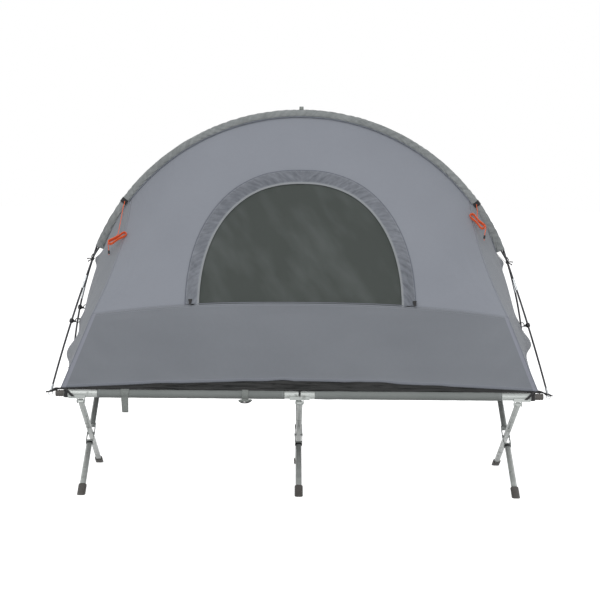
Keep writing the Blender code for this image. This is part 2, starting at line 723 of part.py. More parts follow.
def build_front_panel(parent):
    """The front of the tent: a sloping panel over a low wall, with the window cut out."""
    name = "canopy_front"
    part = add_part(name, front_surface(name), TENT_CLOTH, parent, smooth_angle=20.0)
    solidify(part, CLOTH_THICKNESS)
    boolean(part, add_cutter(name + "_window", window_prism(name, 0.0, 0.0), part))
    return part


def build_window_net(parent):
    """The insect net that fills the window."""
    name = "window_net"
    part = add_part(name, front_surface(name, -FIT), NET, parent)
    solidify(part, NET_THICKNESS)
    boolean(part, add_cutter(name + "_outline", window_prism(name, -FIT, -FIT), part), "INTERSECT")
    return part


def build_window_flap(parent):
    """The storm flap's band, sewn round the arch of the window."""
    name = "window_flap"
    part = add_part(name, front_surface(name, FLAP_LIFT + FLAP_THICKNESS), TRIM_CLOTH, parent)
    solidify(part, FLAP_THICKNESS)
    boolean(part, add_cutter(name + "_outer", window_prism(name, FLAP_WIDTH, 0.0), part), "INTERSECT")
    boolean(part, add_cutter(name + "_inner", window_prism(name, 0.0, CUT_MARGIN), part))
    return part


def build_rear_panel(parent):
    """The rear of the tent, the same panel without a window."""
    name = "canopy_rear"
    mesh = front_surface(name)
    mesh.transform(Matrix.Rotation(math.radians(180), 4, "Z"))
    part = add_part(name, mesh, TENT_CLOTH, parent, smooth_angle=20.0)
    solidify(part, CLOTH_THICKNESS)
    return part


def middle_x(z):
    """How far out the end panel stands at the bed's centre line at a height."""
    if z > RIDGE_END_HEIGHT:
        return math.sqrt(PANEL_RIDGE_RADIUS**2 - (z - RIDGE_CENTRE_HEIGHT) ** 2)
    low = rim_height(TRAY_HALF_LENGTH)
    share = (RIDGE_END_HEIGHT - z) / (RIDGE_END_HEIGHT - low)
    top = math.sqrt(PANEL_RIDGE_RADIUS**2 - (RIDGE_END_HEIGHT - RIDGE_CENTRE_HEIGHT) ** 2)
    return top + (HEM_END_X - top) * share**END_PANEL_BOW


def end_point(across, row):
    """A point of the right end panel; across runs from -1 at the front seam to 1 at the rear one."""
    seam = side_point(1.0, row, 0.0)
    y = (-seam.y - END_PANEL_INSET) * across
    bulge = 1.0 - (y / seam.y) ** 2
    x = seam.x + (middle_x(seam.z) - seam.x) * bulge
    lift = END_HEM_GAP if row == UPPER_ROWS + LOWER_ROWS else 0.0
    return Vector((x, y, seam.z + lift))


def build_end_panel(name, side, parent):
    """An end of the tent, one panel between the two corner seams."""

    def point(column, row):
        place = end_point(2 * column / END_COLUMNS - 1, max(row, END_PANEL_TOP_ROW))
        return Vector((side * place.x, place.y, place.z))

    shape = grid_shape(END_COLUMNS, UPPER_ROWS + LOWER_ROWS, point)
    face_outwards(shape)
    part = add_part(name, to_mesh(name, shape), TENT_CLOTH, parent, smooth_angle=20.0)
    solidify(part, CLOTH_THICKNESS)
    return part


# Ridge sleeve, poles and corner fittings


def ridge_frame(angle):
    """A place on the ridge arc, with the directions out of the arc and along it."""
    out = Vector((math.sin(angle), 0.0, math.cos(angle)))
    along = Vector((math.cos(angle), 0.0, -math.sin(angle)))
    return Vector((0, 0, RIDGE_CENTRE_HEIGHT)) + out * RIDGE_RADIUS, out, along


def sleeve_section(angle, turn, grow=0.0):
    """A point on the ridge sleeve's outside; turn goes round the section, 0 at its rear edge."""
    ridge, out, _ = ridge_frame(angle)
    centre = ridge - out * RIDGE_SLEEVE_POLE_RISE
    wide = RIDGE_SLEEVE_HALF_WIDTH + grow
    high = RIDGE_SLEEVE_HALF_HEIGHT + grow
    across = math.copysign(abs(math.cos(turn)) ** RIDGE_SLEEVE_FULLNESS, math.cos(turn))
    upward = math.copysign(abs(math.sin(turn)) ** RIDGE_SLEEVE_FULLNESS, math.sin(turn))
    return centre + Vector((0, wide * across, 0)) + out * (high * upward)


def build_ridge_sleeve(parent):
    """The gathered cloth tube along the ridge that holds both poles."""
    name = "ridge_sleeve"
    stations = 2 * RIDGE_SLEEVE_WRINKLES
    sides = 10

    def point(column, row):
        angle = RIDGE_SLEEVE_ANGLE * (2 * row / stations - 1)
        grow = -RIDGE_SLEEVE_WRINKLE_DEPTH if row % 2 else 0.0
        return sleeve_section(angle, math.radians(360) * column / sides, grow)

    shape = grid_shape(sides, stations, point)
    bmesh.ops.remove_doubles(shape, verts=shape.verts, dist=0.00001)
    bmesh.ops.recalc_face_normals(shape, faces=shape.faces)
    top = max(shape.faces, key=lambda f: f.calc_center_median().z)
    if top.normal.z < 0:
        bmesh.ops.reverse_faces(shape, faces=shape.faces)
    part = add_part(name, to_mesh(name, shape), TRIM_CLOTH, parent)
    solidify(part, RIDGE_SLEEVE_WALL)
    build_tab("guy_tab_left", -1, part)
    build_tab("guy_tab_right", 1, part)
    return part


def build_tab(name, side_x, sleeve):
    """A webbing tab sewn over the ridge sleeve, which the guy rope is tied to."""
    half = TAB_WIDTH / 2 / RIDGE_RADIUS
    sides = 8

    def point(column, row):
        angle = side_x * (TAB_ANGLE + half * (2 * row - 1))
        turn = math.radians(90) + TAB_WRAP * (column / sides - 0.5)
        return sleeve_section(angle, turn, -RIDGE_SLEEVE_WRINKLE_DEPTH - FIT)

    shape = grid_shape(sides, 1, point)
    bmesh.ops.recalc_face_normals(shape, faces=shape.faces)
    top = max(shape.faces, key=lambda f: f.calc_center_median().z)
    if top.normal.z < 0:
        bmesh.ops.reverse_faces(shape, faces=shape.faces)
    tab = add_cutter(name, to_mesh(name, shape), sleeve)
    solidify(tab, TAB_WALL + RIDGE_SLEEVE_WRINKLE_DEPTH, 1.0)
    boolean(sleeve, tab, "UNION")
    return tab


def splay_point(share, side_x, side_y):
    """A pole's centre between its tie and its tip; share runs from 0 at the tie to 1 at the tip."""
    tie, _, along = ridge_frame(POLE_KNOT_ANGLE)
    drop = tie.z - POLE_TIP_Z
    span = POLE_TIP_X - tie.x
    start = along.x / -along.z * drop / span
    x = tie.x + span * (start * share + (1 - start) * share**2)
    y = POLE_SIDE + (HALF_SPACING - POLE_SIDE) * share**POLE_SPLAY_BOW
    return Vector((side_x * x, side_y * y, tie.z - drop * share))


def pole_points(side_y):
    """The centre line of a pole from its left tip over the ridge to its right tip."""
    left = [splay_point(1 - step / SPLAY_STEPS, -1, side_y) for step in range(SPLAY_STEPS)]
    arc = []
    stations = 2 * RIDGE_SLEEVE_WRINKLES
    inside = [RIDGE_SLEEVE_ANGLE * (2 * step / stations - 1) for step in range(stations + 1)]
    for angle in [-POLE_KNOT_ANGLE] + inside + [POLE_KNOT_ANGLE]:
        place, _, _ = ridge_frame(angle)
        arc.append(place + Vector((0, side_y * POLE_SIDE, 0)))
    right = [splay_point((step + 1) / SPLAY_STEPS, 1, side_y) for step in range(SPLAY_STEPS)]
    return left + arc + right


def tube_mesh(name, points, radius, resolution):
    """A round tube along points as a closed mesh, made of a curve with filled caps."""
    curve = bpy.data.curves.new(name, "CURVE")
    curve.dimensions = "3D"
    curve.bevel_depth = radius
    curve.bevel_resolution = resolution
    curve.use_fill_caps = True
    line = curve.splines.new("POLY")
    line.points.add(len(points) - 1)
    for index, place in enumerate(points):
        line.points[index].co = (*place, 1.0)
    holder = bpy.data.objects.new(name + "_route", curve)
    bpy.context.scene.collection.objects.link(holder)
    graph = bpy.context.evaluated_depsgraph_get()
    mesh = bpy.data.meshes.new_from_object(holder.evaluated_get(graph))
    bpy.data.objects.remove(holder, do_unlink=True)
    bpy.data.curves.remove(curve)
    shape = bmesh.new()
    shape.from_mesh(mesh)
    bmesh.ops.remove_doubles(shape, verts=shape.verts, dist=0.000001)
    bmesh.ops.recalc_face_normals(shape, faces=shape.faces)
    shape.to_mesh(mesh)
    shape.free()
    return mesh


def tip_direction(side_x, side_y):
    """The way a pole points at its tip, down and outwards."""
    last = 1 - 1 / SPLAY_STEPS
    return (splay_point(1, side_x, side_y) - splay_point(last, side_x, side_y)).normalized()


def aim(direction):
    """A turn that lays Z along a direction."""
    return Vector((0, 0, 1)).rotation_difference(direction).to_matrix().to_4x4()


def build_pole(name, side_y, parent):
    """A fibreglass pole that arches over the bed from corner to corner, bored at its tips."""
    mesh = tube_mesh(name, pole_points(side_y), POLE_RADIUS, 2)
    part = add_part(name, mesh, FIBREGLASS, parent)
    for side_x, word in ((-1, "left"), (1, "right")):
        bore = rod_mesh(name, SPIGOT_RADIUS + FIT, 2 * (SPIGOT_LENGTH + FIT), "Z", sides=SPIGOT_SIDES)
        bore.transform(aim(tip_direction(side_x, side_y)))
        cutter = add_cutter(name + "_bore_" + word, bore, part)
        cutter.location = splay_point(1, side_x, side_y)
        boolean(part, cutter)
    return part


def build_corner_strap(name, side_x, side_y, parent):
    """A webbing band round the rail's end with a tongue out to the eyelet under the pole's tip."""
    y = side_y * HALF_SPACING
    centre = Vector((side_x * STRAP_BAND_X, y, RAIL_HEIGHT))
    mesh = rod_mesh(name, STRAP_BAND_RADIUS, STRAP_BAND_WIDTH, "X", sides=RAIL_SIDES)
    part = add_part(name, mesh, WEBBING, parent, centre)
    down = tip_direction(side_x, side_y)
    eye = splay_point(1, side_x, side_y) + down * (FIT + EYELET_THICKNESS / 2)
    across = Vector((1, 0, 0)).cross(down).normalized()
    inward = down.cross(across).normalized()
    if across.y < 0:
        across = -across
    if inward.x * side_x > 0:
        inward = -inward
    level = RAIL_HEIGHT + STRAP_BAND_RADIUS - STRAP_THICKNESS / 2
    over_cap = RAIL_HEIGHT + CAP_RADIUS + TONGUE_CAP_GAP + STRAP_THICKNESS
    along_y = Vector((0, 1, 0))
    stations = [
        (centre + Vector((0, 0, level - RAIL_HEIGHT)), along_y),
        (Vector((side_x * (TUBE_END_X + TONGUE_LEVEL_RUN), y, level)), along_y),
        (Vector((side_x * (HALF_LENGTH - TONGUE_CAP_SETBACK), y, over_cap)), along_y),
        (eye + inward * EYELET_RADIUS / 2 + down * FIT, across),
    ]

    def point(column, row):
        place, sideways = stations[row]
        return place + sideways * (STRAP_WIDTH * (column / 2 - 0.5)) - centre

    shape = grid_shape(2, len(stations) - 1, point)
    bmesh.ops.recalc_face_normals(shape, faces=shape.faces)
    tongue = add_cutter(name + "_tongue", to_mesh(name, shape), part)
    solidify(tongue, STRAP_THICKNESS, 0.0)
    boolean(part, tongue, "UNION")
    to_eye = Matrix.Translation(eye - centre) @ aim(down)
    disc = rod_mesh(name, EYELET_RADIUS, EYELET_THICKNESS, "Z", sides=RAIL_SIDES // 2)
    disc.transform(to_eye)
    boolean(part, add_cutter(name + "_eyelet", disc, part), "UNION")
    bore_length = STRAP_BAND_WIDTH + 2 * JOIN_LAP
    bore = rod_mesh(name, RAIL_RADIUS + FIT, bore_length, "X", sides=RAIL_SIDES)
    boolean(part, add_cutter(name + "_band_bore", bore, part))
    hole = rod_mesh(name, SPIGOT_RADIUS + FIT, 2 * CUT_MARGIN, "Z", sides=SPIGOT_SIDES)
    hole.transform(to_eye)
    boolean(part, add_cutter(name + "_hole", hole, part))
    return part


def spin_profile(shape, geometry, axis, steps):
    """Turn a profile once round an axis through the origin and close it."""
    bmesh.ops.spin(
        shape,
        geom=geometry,
        axis=axis,
        cent=(0, 0, 0),
        angle=math.radians(360),
        steps=steps,
        use_merge=True,
    )
    bmesh.ops.remove_doubles(shape, verts=shape.verts, dist=0.000001)
    bmesh.ops.recalc_face_normals(shape, faces=shape.faces)


def build_ring_pin(name, side_x, side_y, parent):
    """The steel pin that holds a pole's tip, with its pull ring."""
    turn = aim(tip_direction(side_x, side_y))
    seat = EYELET_THICKNESS + 2 * FIT
    foot = seat + SHOULDER_HEIGHT
    profile = [
        (0.0, -SPIGOT_LENGTH),
        (SPIGOT_RADIUS, -SPIGOT_LENGTH + SPIGOT_CHAMFER),
        (SPIGOT_RADIUS, seat),
        (SHOULDER_RADIUS, seat),
        (SHOULDER_RADIUS, foot),
        (0.0, foot),
    ]
    shape = bmesh.new()
    corners = [shape.verts.new((radius, 0.0, height)) for radius, height in profile]
    edges = [shape.edges.new(pair) for pair in zip(corners, corners[1:])]
    spin_profile(shape, corners + edges, (0, 0, 1), SPIGOT_SIDES)
    mesh = to_mesh(name, shape)
    mesh.transform(turn)
    part = add_part(name, mesh, STEEL, parent, splay_point(1, side_x, side_y))
    ring_shape = bmesh.new()
    wire = bmesh.ops.create_circle(ring_shape, cap_ends=False, segments=6, radius=PULL_RING_WIRE)
    bmesh.ops.translate(ring_shape, vec=(PULL_RING_RADIUS, 0, 0), verts=wire["verts"])
    spin_profile(ring_shape, list(ring_shape.verts) + list(ring_shape.edges), (0, 1, 0), PIN_SIDES)
    drop = foot + PULL_RING_RADIUS + PULL_RING_WIRE - PULL_RING_SINK
    bmesh.ops.translate(ring_shape, vec=(0, 0, drop), verts=ring_shape.verts)
    ring_mesh = to_mesh(name, ring_shape)
    ring_mesh.transform(turn)
    boolean(part, add_cutter(name + "_ring", ring_mesh, part), "UNION")
    return part


# Guy ropes


def smooth_route(points):
    """A smooth curve through the route's own points, read off at even steps."""
    ends = [2 * points[0] - points[1]] + list(points) + [2 * points[-1] - points[-2]]
    fine = []
    for index in range(1, len(ends) - 2):
        before, first, second, after = ends[index - 1 : index + 3]
        for step in range(ROUTE_FINE_STEPS):
            t = step / ROUTE_FINE_STEPS
            fine.append(
                0.5
                * (
                    2 * first
                    + (second - before) * t
                    + (2 * before - 5 * first + 4 * second - after) * t**2
                    + (3 * first - before - 3 * second + after) * t**3
                )
            )
    fine.append(points[-1].copy())
    lengths = [0.0]
    for first, second in zip(fine, fine[1:]):
        lengths.append(lengths[-1] + (second - first).length)
    count = max(2, round(lengths[-1] / ROUTE_SPACING))
    route = []
    index = 0
    for step in range(count + 1):
        goal = lengths[-1] * step / count
        while index < len(fine) - 2 and lengths[index + 1] < goal:
            index += 1
        share = (goal - lengths[index]) / (lengths[index + 1] - lengths[index])
        route.append(fine[index].lerp(fine[index + 1], share))
    return route


def hank_points(centre, along, normal):
    """The loops of a hank: long flat turns laid one on another, drawn in at the middle."""
    sideways = normal.cross(along).normalized()
    radius = HANK_HALF_WIDTH - ROPE_RADIUS
    half_length = HANK_HALF_LENGTH - ROPE_RADIUS
    layer_step = 2 * ROPE_RADIUS + HANK_LAYER_GAP
    points = []
    for index in range(HANK_LAYERS * HANK_POINTS + HANK_TAIL_POINTS + 1):
        turn = index / HANK_POINTS
        a, b = stadium_point(turn % 1.0, half_length - radius, radius)
        waist = 1 - HANK_WAIST * math.cos(min(1.0, abs(a) / half_length) * math.radians(90)) ** 2
        height = (turn - HANK_LAYERS / 2) * layer_step
        points.append(centre + along * a + sideways * (b * waist) + normal * height)
    return points


def stadium_point(share, half_straight, radius):
    """A point on an outline of two runs and two half circles, from the middle of a run."""
    arc = math.pi * radius
    whole = 4 * half_straight + 2 * arc
    way = share * whole
    if way < half_straight:
        return way, radius
    way -= half_straight
    if way < arc:
        angle = math.radians(90) - way / radius
        return half_straight + radius * math.cos(angle), radius * math.sin(angle)
    way -= arc
    if way < 2 * half_straight:
        return half_straight - way, -radius
    way -= 2 * half_straight
    if way < arc:
        angle = -math.radians(90) - way / radius
        return -half_straight + radius * math.cos(angle), radius * math.sin(angle)
    return -half_straight + (way - arc), radius


def least_gap(points, radius, skip=4):
    """The least gap of a tube to itself, measured between points at least skip steps apart."""
    fine = []
    for first, second in zip(points, points[1:]):
        fine += [first, first.lerp(second, 0.5)]
    found = 1.0
    for index, place in enumerate(fine):
        for other in fine[index + 2 * skip :]:
            found = min(found, (place - other).length)
    return found - 2 * radius


# The routes of the two guy ropes, in world places: the lead between its tab and the hank, the middle
# of the hank with the way it lies and the way it faces, and the tail from the hank to its end.
LEFT_LEAD = [(-0.7290, -0.0340, 1.1300), (-0.7330, -0.0800, 1.0890), (-0.7370, -0.1260, 1.0500)]
LEFT_HANK = ((-0.7420, -0.1680, 1.0070), (-0.780, -0.410, -0.473), (0.0, 0.744, -0.668))
LEFT_TAIL = [(-0.7790, -0.1790, 0.9800), (-0.7760, -0.1800, 0.9620), (-0.7750, -0.1800, 0.9400)]
RIGHT_LEAD = [(0.7270, -0.0320, 1.1300), (0.7260, -0.0460, 1.1140)]
RIGHT_HANK = ((0.7220, -0.0920, 1.0850), (0.590, -0.555, -0.590), (0.0, -0.744, 0.668))
RIGHT_TAIL = [(0.7545, -0.1240, 1.0560), (0.7500, -0.1290, 1.0360), (0.7480, -0.1300, 1.0090)]


def rope_route(side_x, lead, hank, tail):
    """All the points of a guy rope, from the front edge of its tab to its free end."""
    tied = sleeve_section(side_x * TAB_ANGLE, math.radians(180), TAB_WALL + 2 * FIT)
    away = tied + Vector((0, -2 * ROPE_RADIUS, 0))
    bend = []
    for step in range(4):
        turn = math.radians(30 * step)
        bend.append(away + Vector((0, -math.sin(turn), math.cos(turn) - 1)) * ROPE_BEND)
    centre, along, normal = (Vector(value) for value in hank)
    normal = normal.normalized()
    along = (along - normal * along.dot(normal)).normalized()
    loops = hank_points(centre, along, normal)
    entry = loops[0] + (normal.cross(along) * HANK_ENTRY_LIFT - along) * HANK_ENTRY
    leave = loops[-1] + (loops[-1] - loops[-2]).normalized() * HANK_EXIT
    first = smooth_route([bend[-1]] + [Vector(place) for place in lead] + [entry, loops[0]])
    last = smooth_route([loops[-1], leave] + [Vector(place) for place in tail])
    return [tied] + bend[:-1] + first[:-1] + loops + last[1:]


def build_guy_rope(name, side_x, lead, hank, tail, parent):
    """A guy rope wound into a hank that hangs by its lead."""
    points = rope_route(side_x, lead, hank, tail)
    gap = least_gap(points, ROPE_RADIUS)
    print(name, "least gap to itself in mm:", round(gap * 1000, 2))
    mesh = tube_mesh(name, points, ROPE_RADIUS, 1)
    return add_part(name, mesh, ROPE, parent)


def build_toggle(name, tail, parent):
    """The small plastic toggle on a guy rope's tail."""
    first, second = Vector(tail[1]), Vector(tail[2])
    turn = aim((second - first).normalized())
    mesh = rod_mesh(name, TOGGLE_RADIUS, TOGGLE_LENGTH, "Z")
    mesh.transform(turn)
    part = add_part(name, mesh, BLACK_PLASTIC, parent, first.lerp(second, 0.5))
    length = TOGGLE_LENGTH + 2 * JOIN_LAP
    bore = rod_mesh(name, ROPE_RADIUS + TOGGLE_BORE_GAP, length, "Z")
    bore.transform(turn)
    boolean(part, add_cutter(name + "_bore", bore, part))
    return part


# The tree of bodies, each on its joint's axis
ROOT = make_empty("rear_rail_body", (0, 0, 0))
FORKED = make_empty("forked_legs_body", (0, HALF_SPACING, PIVOT_HEIGHT), ROOT)
THROUGH = make_empty("through_legs_body", (0, 0, CROSS_HEIGHT), FORKED)
FRONT = make_empty("front_rail_body", (0, -HALF_SPACING, PIVOT_HEIGHT), THROUGH)

for rail_word, rail_way, rail_body in (("front", -1, FRONT), ("rear", 1, ROOT)):
    rail_y = rail_way * HALF_SPACING
    for rail_side, side_word in ((-1, "left"), (1, "right")):
        tail_word = rail_word + "_" + side_word
        build_rail("rail_" + tail_word, rail_side, rail_y, rail_body)
        build_rail_cap("rail_cap_" + tail_word, rail_side, rail_y, rail_body)
        low_reach, high_reach = SADDLE_INNER_REACH, SADDLE_OUTER_REACH
        if rail_side < 0:
            low_reach, high_reach = high_reach, low_reach
        end_x = rail_side * LEG_PAIR_OFFSET
        build_saddle("saddle_" + tail_word, end_x, rail_y, low_reach, high_reach, rail_body)
        build_rail_pin("rail_pin_" + tail_word, end_x, rail_y, rail_body)
        build_corner_strap("corner_strap_" + tail_word, rail_side, rail_way, rail_body)
        build_ring_pin("ring_pin_" + tail_word, rail_side, rail_way, rail_body)
    half_saddle = MIDDLE_SADDLE_LENGTH / 2
    build_saddle("saddle_" + rail_word + "_middle", 0.0, rail_y, half_saddle, half_saddle, rail_body)
    build_rail_pin("rail_pin_" + rail_word + "_middle", 0.0, rail_y, rail_body)

for pair_x, pair_word in ((-LEG_PAIR_OFFSET, "left"), (0.0, "middle"), (LEG_PAIR_OFFSET, "right")):
    build_forked_leg("forked_leg_" + pair_word, pair_x, FORKED)
    build_collar("leg_collar_" + pair_word, pair_x, FORKED)
    build_cross_pin("cross_pin_" + pair_word, pair_x, FORKED)
    build_foot("front_foot_" + pair_word, pair_x, -1, FORKED)
    build_through_leg("through_leg_" + pair_word, pair_x, THROUGH)
    build_foot("rear_foot_" + pair_word, pair_x, 1, THROUGH)

build_bed_cloth(ROOT)
build_front_panel(ROOT)
build_rear_panel(ROOT)
build_end_panel("canopy_left_end", -1, ROOT)
build_end_panel("canopy_right_end", 1, ROOT)
build_window_net(ROOT)
build_window_flap(ROOT)
build_ridge_sleeve(ROOT)
build_pole("pole_front", -1, ROOT)
build_pole("pole_rear", 1, ROOT)
build_guy_rope("guy_rope_left", -1, LEFT_LEAD, LEFT_HANK, LEFT_TAIL, ROOT)
build_guy_rope("guy_rope_right", 1, RIGHT_LEAD, RIGHT_HANK, RIGHT_TAIL, ROOT)
build_toggle("rope_toggle_left", LEFT_TAIL, ROOT)
build_toggle("rope_toggle_right", RIGHT_TAIL, ROOT)
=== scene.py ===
"""A folding camp bed with a one-person tent on it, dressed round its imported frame."""

import math

import bmesh
import bpy
from mathutils import Matrix, Vector, noise


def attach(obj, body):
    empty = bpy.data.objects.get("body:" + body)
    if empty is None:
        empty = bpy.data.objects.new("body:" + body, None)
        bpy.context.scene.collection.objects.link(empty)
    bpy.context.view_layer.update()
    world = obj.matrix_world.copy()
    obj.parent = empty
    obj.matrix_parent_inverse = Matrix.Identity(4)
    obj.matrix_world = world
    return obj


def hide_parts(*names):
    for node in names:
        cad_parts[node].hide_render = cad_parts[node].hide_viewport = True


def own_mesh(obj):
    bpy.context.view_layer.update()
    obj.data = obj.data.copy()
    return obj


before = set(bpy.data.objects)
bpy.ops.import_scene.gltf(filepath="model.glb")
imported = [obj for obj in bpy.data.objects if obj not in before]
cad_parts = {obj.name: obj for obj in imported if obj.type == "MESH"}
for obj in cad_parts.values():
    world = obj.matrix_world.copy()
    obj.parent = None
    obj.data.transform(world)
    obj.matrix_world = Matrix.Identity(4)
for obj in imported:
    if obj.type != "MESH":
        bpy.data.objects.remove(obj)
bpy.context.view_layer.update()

# Camera
# It stands where the photographer stood, 8.5 m in front of the bed and just under the height of the
# ridge, with a long lens. Its angles were fitted to points of the bed's frame.
camera_place = Vector((-0.0571, -8.4656, 1.4383))
yaw, pitch, roll = 0.006857, 0.081305, 0.009039
ahead = Vector((math.sin(yaw) * math.cos(pitch), math.cos(yaw) * math.cos(pitch), -math.sin(pitch)))
level = Vector((math.cos(yaw), -math.sin(yaw), 0.0))
upright = level.cross(ahead)
rightward = level * math.cos(roll) + upright * math.sin(roll)
upward = upright * math.cos(roll) - level * math.sin(roll)
camera_lens = bpy.data.cameras.new("camera")
camera_lens.sensor_width = 36.0
camera_lens.lens = 2049.7 / 600 * camera_lens.sensor_width
camera_lens.clip_end = 100.0
camera = bpy.data.objects.new("camera", camera_lens)
bpy.context.scene.collection.objects.link(camera)
turned_back = Matrix((rightward, upward, -ahead)).transposed().to_4x4()
camera.matrix_world = Matrix.Translation(camera_place) @ turned_back
bpy.context.scene.camera = camera

# Guy ropes
# Two orange cords of braided polyester, 3 mm thick, each tied to a webbing tab on the ridge and wound
# into a small hank, with a toggle near its free end. They are swept along the routes of the frame.


class Wire:
    """A socket of a material's nodes. Sums and products of wires add their Math nodes."""

    def __init__(self, tree, socket=None):
        self.tree = tree
        self.socket = socket

    def node(self, kind, settings=None, values=None, output=0):
        """Any node: its settings are set first, then the values or links of its sockets."""
        made = self.tree.nodes.new("ShaderNode" + kind)
        for key, value in (settings or {}).items():
            setattr(made, key, value)
        for key, value in (values or {}).items():
            if isinstance(value, Wire):
                self.tree.links.new(value.socket, made.inputs[key])
            else:
                made.inputs[key].default_value = value
        return Wire(self.tree, made.outputs[output])

    def maths(self, operation, *values):
        return self.node("Math", {"operation": operation}, dict(enumerate(values)))

    def __add__(self, other):
        return self.maths("ADD", self, other)

    def __sub__(self, other):
        return self.maths("SUBTRACT", self, other)

    def __rsub__(self, other):
        return self.maths("SUBTRACT", other, self)

    def __mul__(self, other):
        return self.maths("MULTIPLY", self, other)

    __radd__ = __add__
    __rmul__ = __mul__

    def wave(self, scale=1.0):
        """The sine of this value times a scale."""
        return self.maths("SINE", self * scale)

    def within(self, low, high):
        """This value as a share of the way from low to high, kept between 0 and 1."""
        ends = {"Value": self, "From Min": low, "From Max": high}
        return self.node("MapRange", {"clamp": True}, ends)

    def band(self, low, high, soft=0.0004):
        """1 where this value lies between low and high, 0 outside, with soft edges."""
        return self.within(low - soft, low) * (1 - self.within(high, high + soft))

    def between(self, first, second):
        """A colour this far of the way from the first colour to the second."""
        return self.node("Mix", {"data_type": "RGBA"}, {0: self, 6: first, 7: second}, 2)

    def flat_map(self):
        """The piece's own flat map, as two wires in metres: across it and along it."""
        flat = self.node("TexCoord", output="UV")
        return [self.node("SeparateXYZ", None, {0: flat}, axis) for axis in (0, 1)]

    def cloudy(self, scale, detail=3.0, stretch=(1.0, 1.0, 1.0), turn=(0.0, 0.0, 0.0), on="Object"):
        """Soft noise over the piece, from about 0 to 1, with this many cells a metre.

        It is drawn out by stretch along axes that are first turned. On "UV" it lies in the flat map.
        """
        source = self.node("TexCoord", output=on)
        placed = self.node("Mapping", {"vector_type": "TEXTURE"}, {0: source, 2: turn, 3: stretch})
        return self.node("TexNoise", None, {"Vector": placed, "Scale": scale, "Detail": detail})

    def bump(self, distance, strength=1.0):
        """The normal that this height, from 0 to 1, raises over a distance in metres."""
        return self.node("Bump", None, {"Height": self, "Distance": distance, "Strength": strength})


def paint(red, green, blue):
    """A colour as it shows on a screen, in the numbers that a shader takes."""
    shares = [value / 255 for value in (red, green, blue)]
    return (*(s / 12.92 if s <= 0.04045 else ((s + 0.055) / 1.055) ** 2.4 for s in shares), 1.0)


def new_finish(name, roughness, metallic=0.0, sheen=0.0, specular=0.5):
    """A material, the wire that starts its nodes and a way to lead a wire into its shader."""
    material = bpy.data.materials.new(name)
    material.use_nodes = True
    shader = material.node_tree.nodes["Principled BSDF"]
    shader.inputs["Roughness"].default_value = roughness
    shader.inputs["Metallic"].default_value = metallic
    shader.inputs["Sheen Weight"].default_value = sheen
    shader.inputs["Specular IOR Level"].default_value = specular
    tree = material.node_tree

    def plug(wire, socket):
        tree.links.new(wire.socket, shader.inputs[socket])

    return material, Wire(tree), plug


def grained(name, dark, light, roughness, scale, metallic=0.0, distance=0.0004):
    """A hard finish, plastic or metal, with a fine grain and dull and bright patches."""
    material, start, plug = new_finish(name, roughness, metallic)
    grain = start.cloudy(scale)
    wear = start.cloudy(scale / 12, 4.0)
    tone = (grain * 0.6 + wear * 0.6).within(0.35, 0.85)
    plug(tone.between(paint(*dark), paint(*light)), "Base Color")
    plug((wear * 0.3 + (roughness - 0.15)).within(0.0, 1.0), "Roughness")
    plug(grain.bump(distance, 0.35), "Normal")
    return material


def bent_grid(columns, rows, place, size=(1.0, 1.0)):
    """A grid bent to a surface, with its flat map in metres; place takes two shares from 0 to 1."""
    shape = bmesh.new()
    bmesh.ops.create_grid(shape, x_segments=columns, y_segments=rows, size=0.5)
    flat = shape.loops.layers.uv.new("flat")
    for face in shape.faces:
        for loop in face.loops:
            corner = loop.vert.co
            loop[flat].uv = ((corner.x + 0.5) * size[0], (corner.y + 0.5) * size[1])
    for corner in shape.verts:
        corner.co = place(corner.co.x + 0.5, corner.co.y + 0.5)
    return shape


def close_ends(shape):
    """Fills the open rims of a tube or shell and turns its faces outwards."""
    rims = [edge for edge in shape.edges if edge.is_boundary]
    bmesh.ops.holes_fill(shape, edges=rims, sides=0)
    bmesh.ops.recalc_face_normals(shape, faces=shape.faces)
    return shape


def new_piece(name, shape, material, body, wall=0.0, offset=-1.0):
    """A finished mesh as a piece that rides on a body; a sheet gets its thickness as a wall."""
    mesh = bpy.data.meshes.new(name)
    shape.to_mesh(mesh)
    shape.free()
    mesh.shade_smooth()
    mesh.set_sharp_from_angle(angle=math.radians(40))
    mesh.materials.append(material)
    piece = bpy.data.objects.new(name, mesh)
    bpy.context.scene.collection.objects.link(piece)
    if wall:
        thick = piece.modifiers.new("wall", "SOLIDIFY")
        thick.thickness = wall
        thick.offset = offset
    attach(piece, body)
    return piece


# The axes of the two rails run along X at this distance from the middle of the bed.
rail_y = 0.415


def fold_flat(piece):
    """Gives a soft piece its own copy of its mesh."""
    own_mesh(piece)


def tent_piece(name, shape, material, wall=0.0, offset=-1.0):
    """A piece of the tent, which rides on the rear rail."""
    piece = new_piece(name, shape, material, "rear_rail", wall, offset)
    fold_flat(piece)
    return piece


def dress(node, finish):
    """Gives a CAD piece that stays its finish."""
    node.data.materials.clear()
    node.data.materials.append(finish)


def path_length(points):
    return sum((b - a).length for a, b in zip(points, points[1:]))


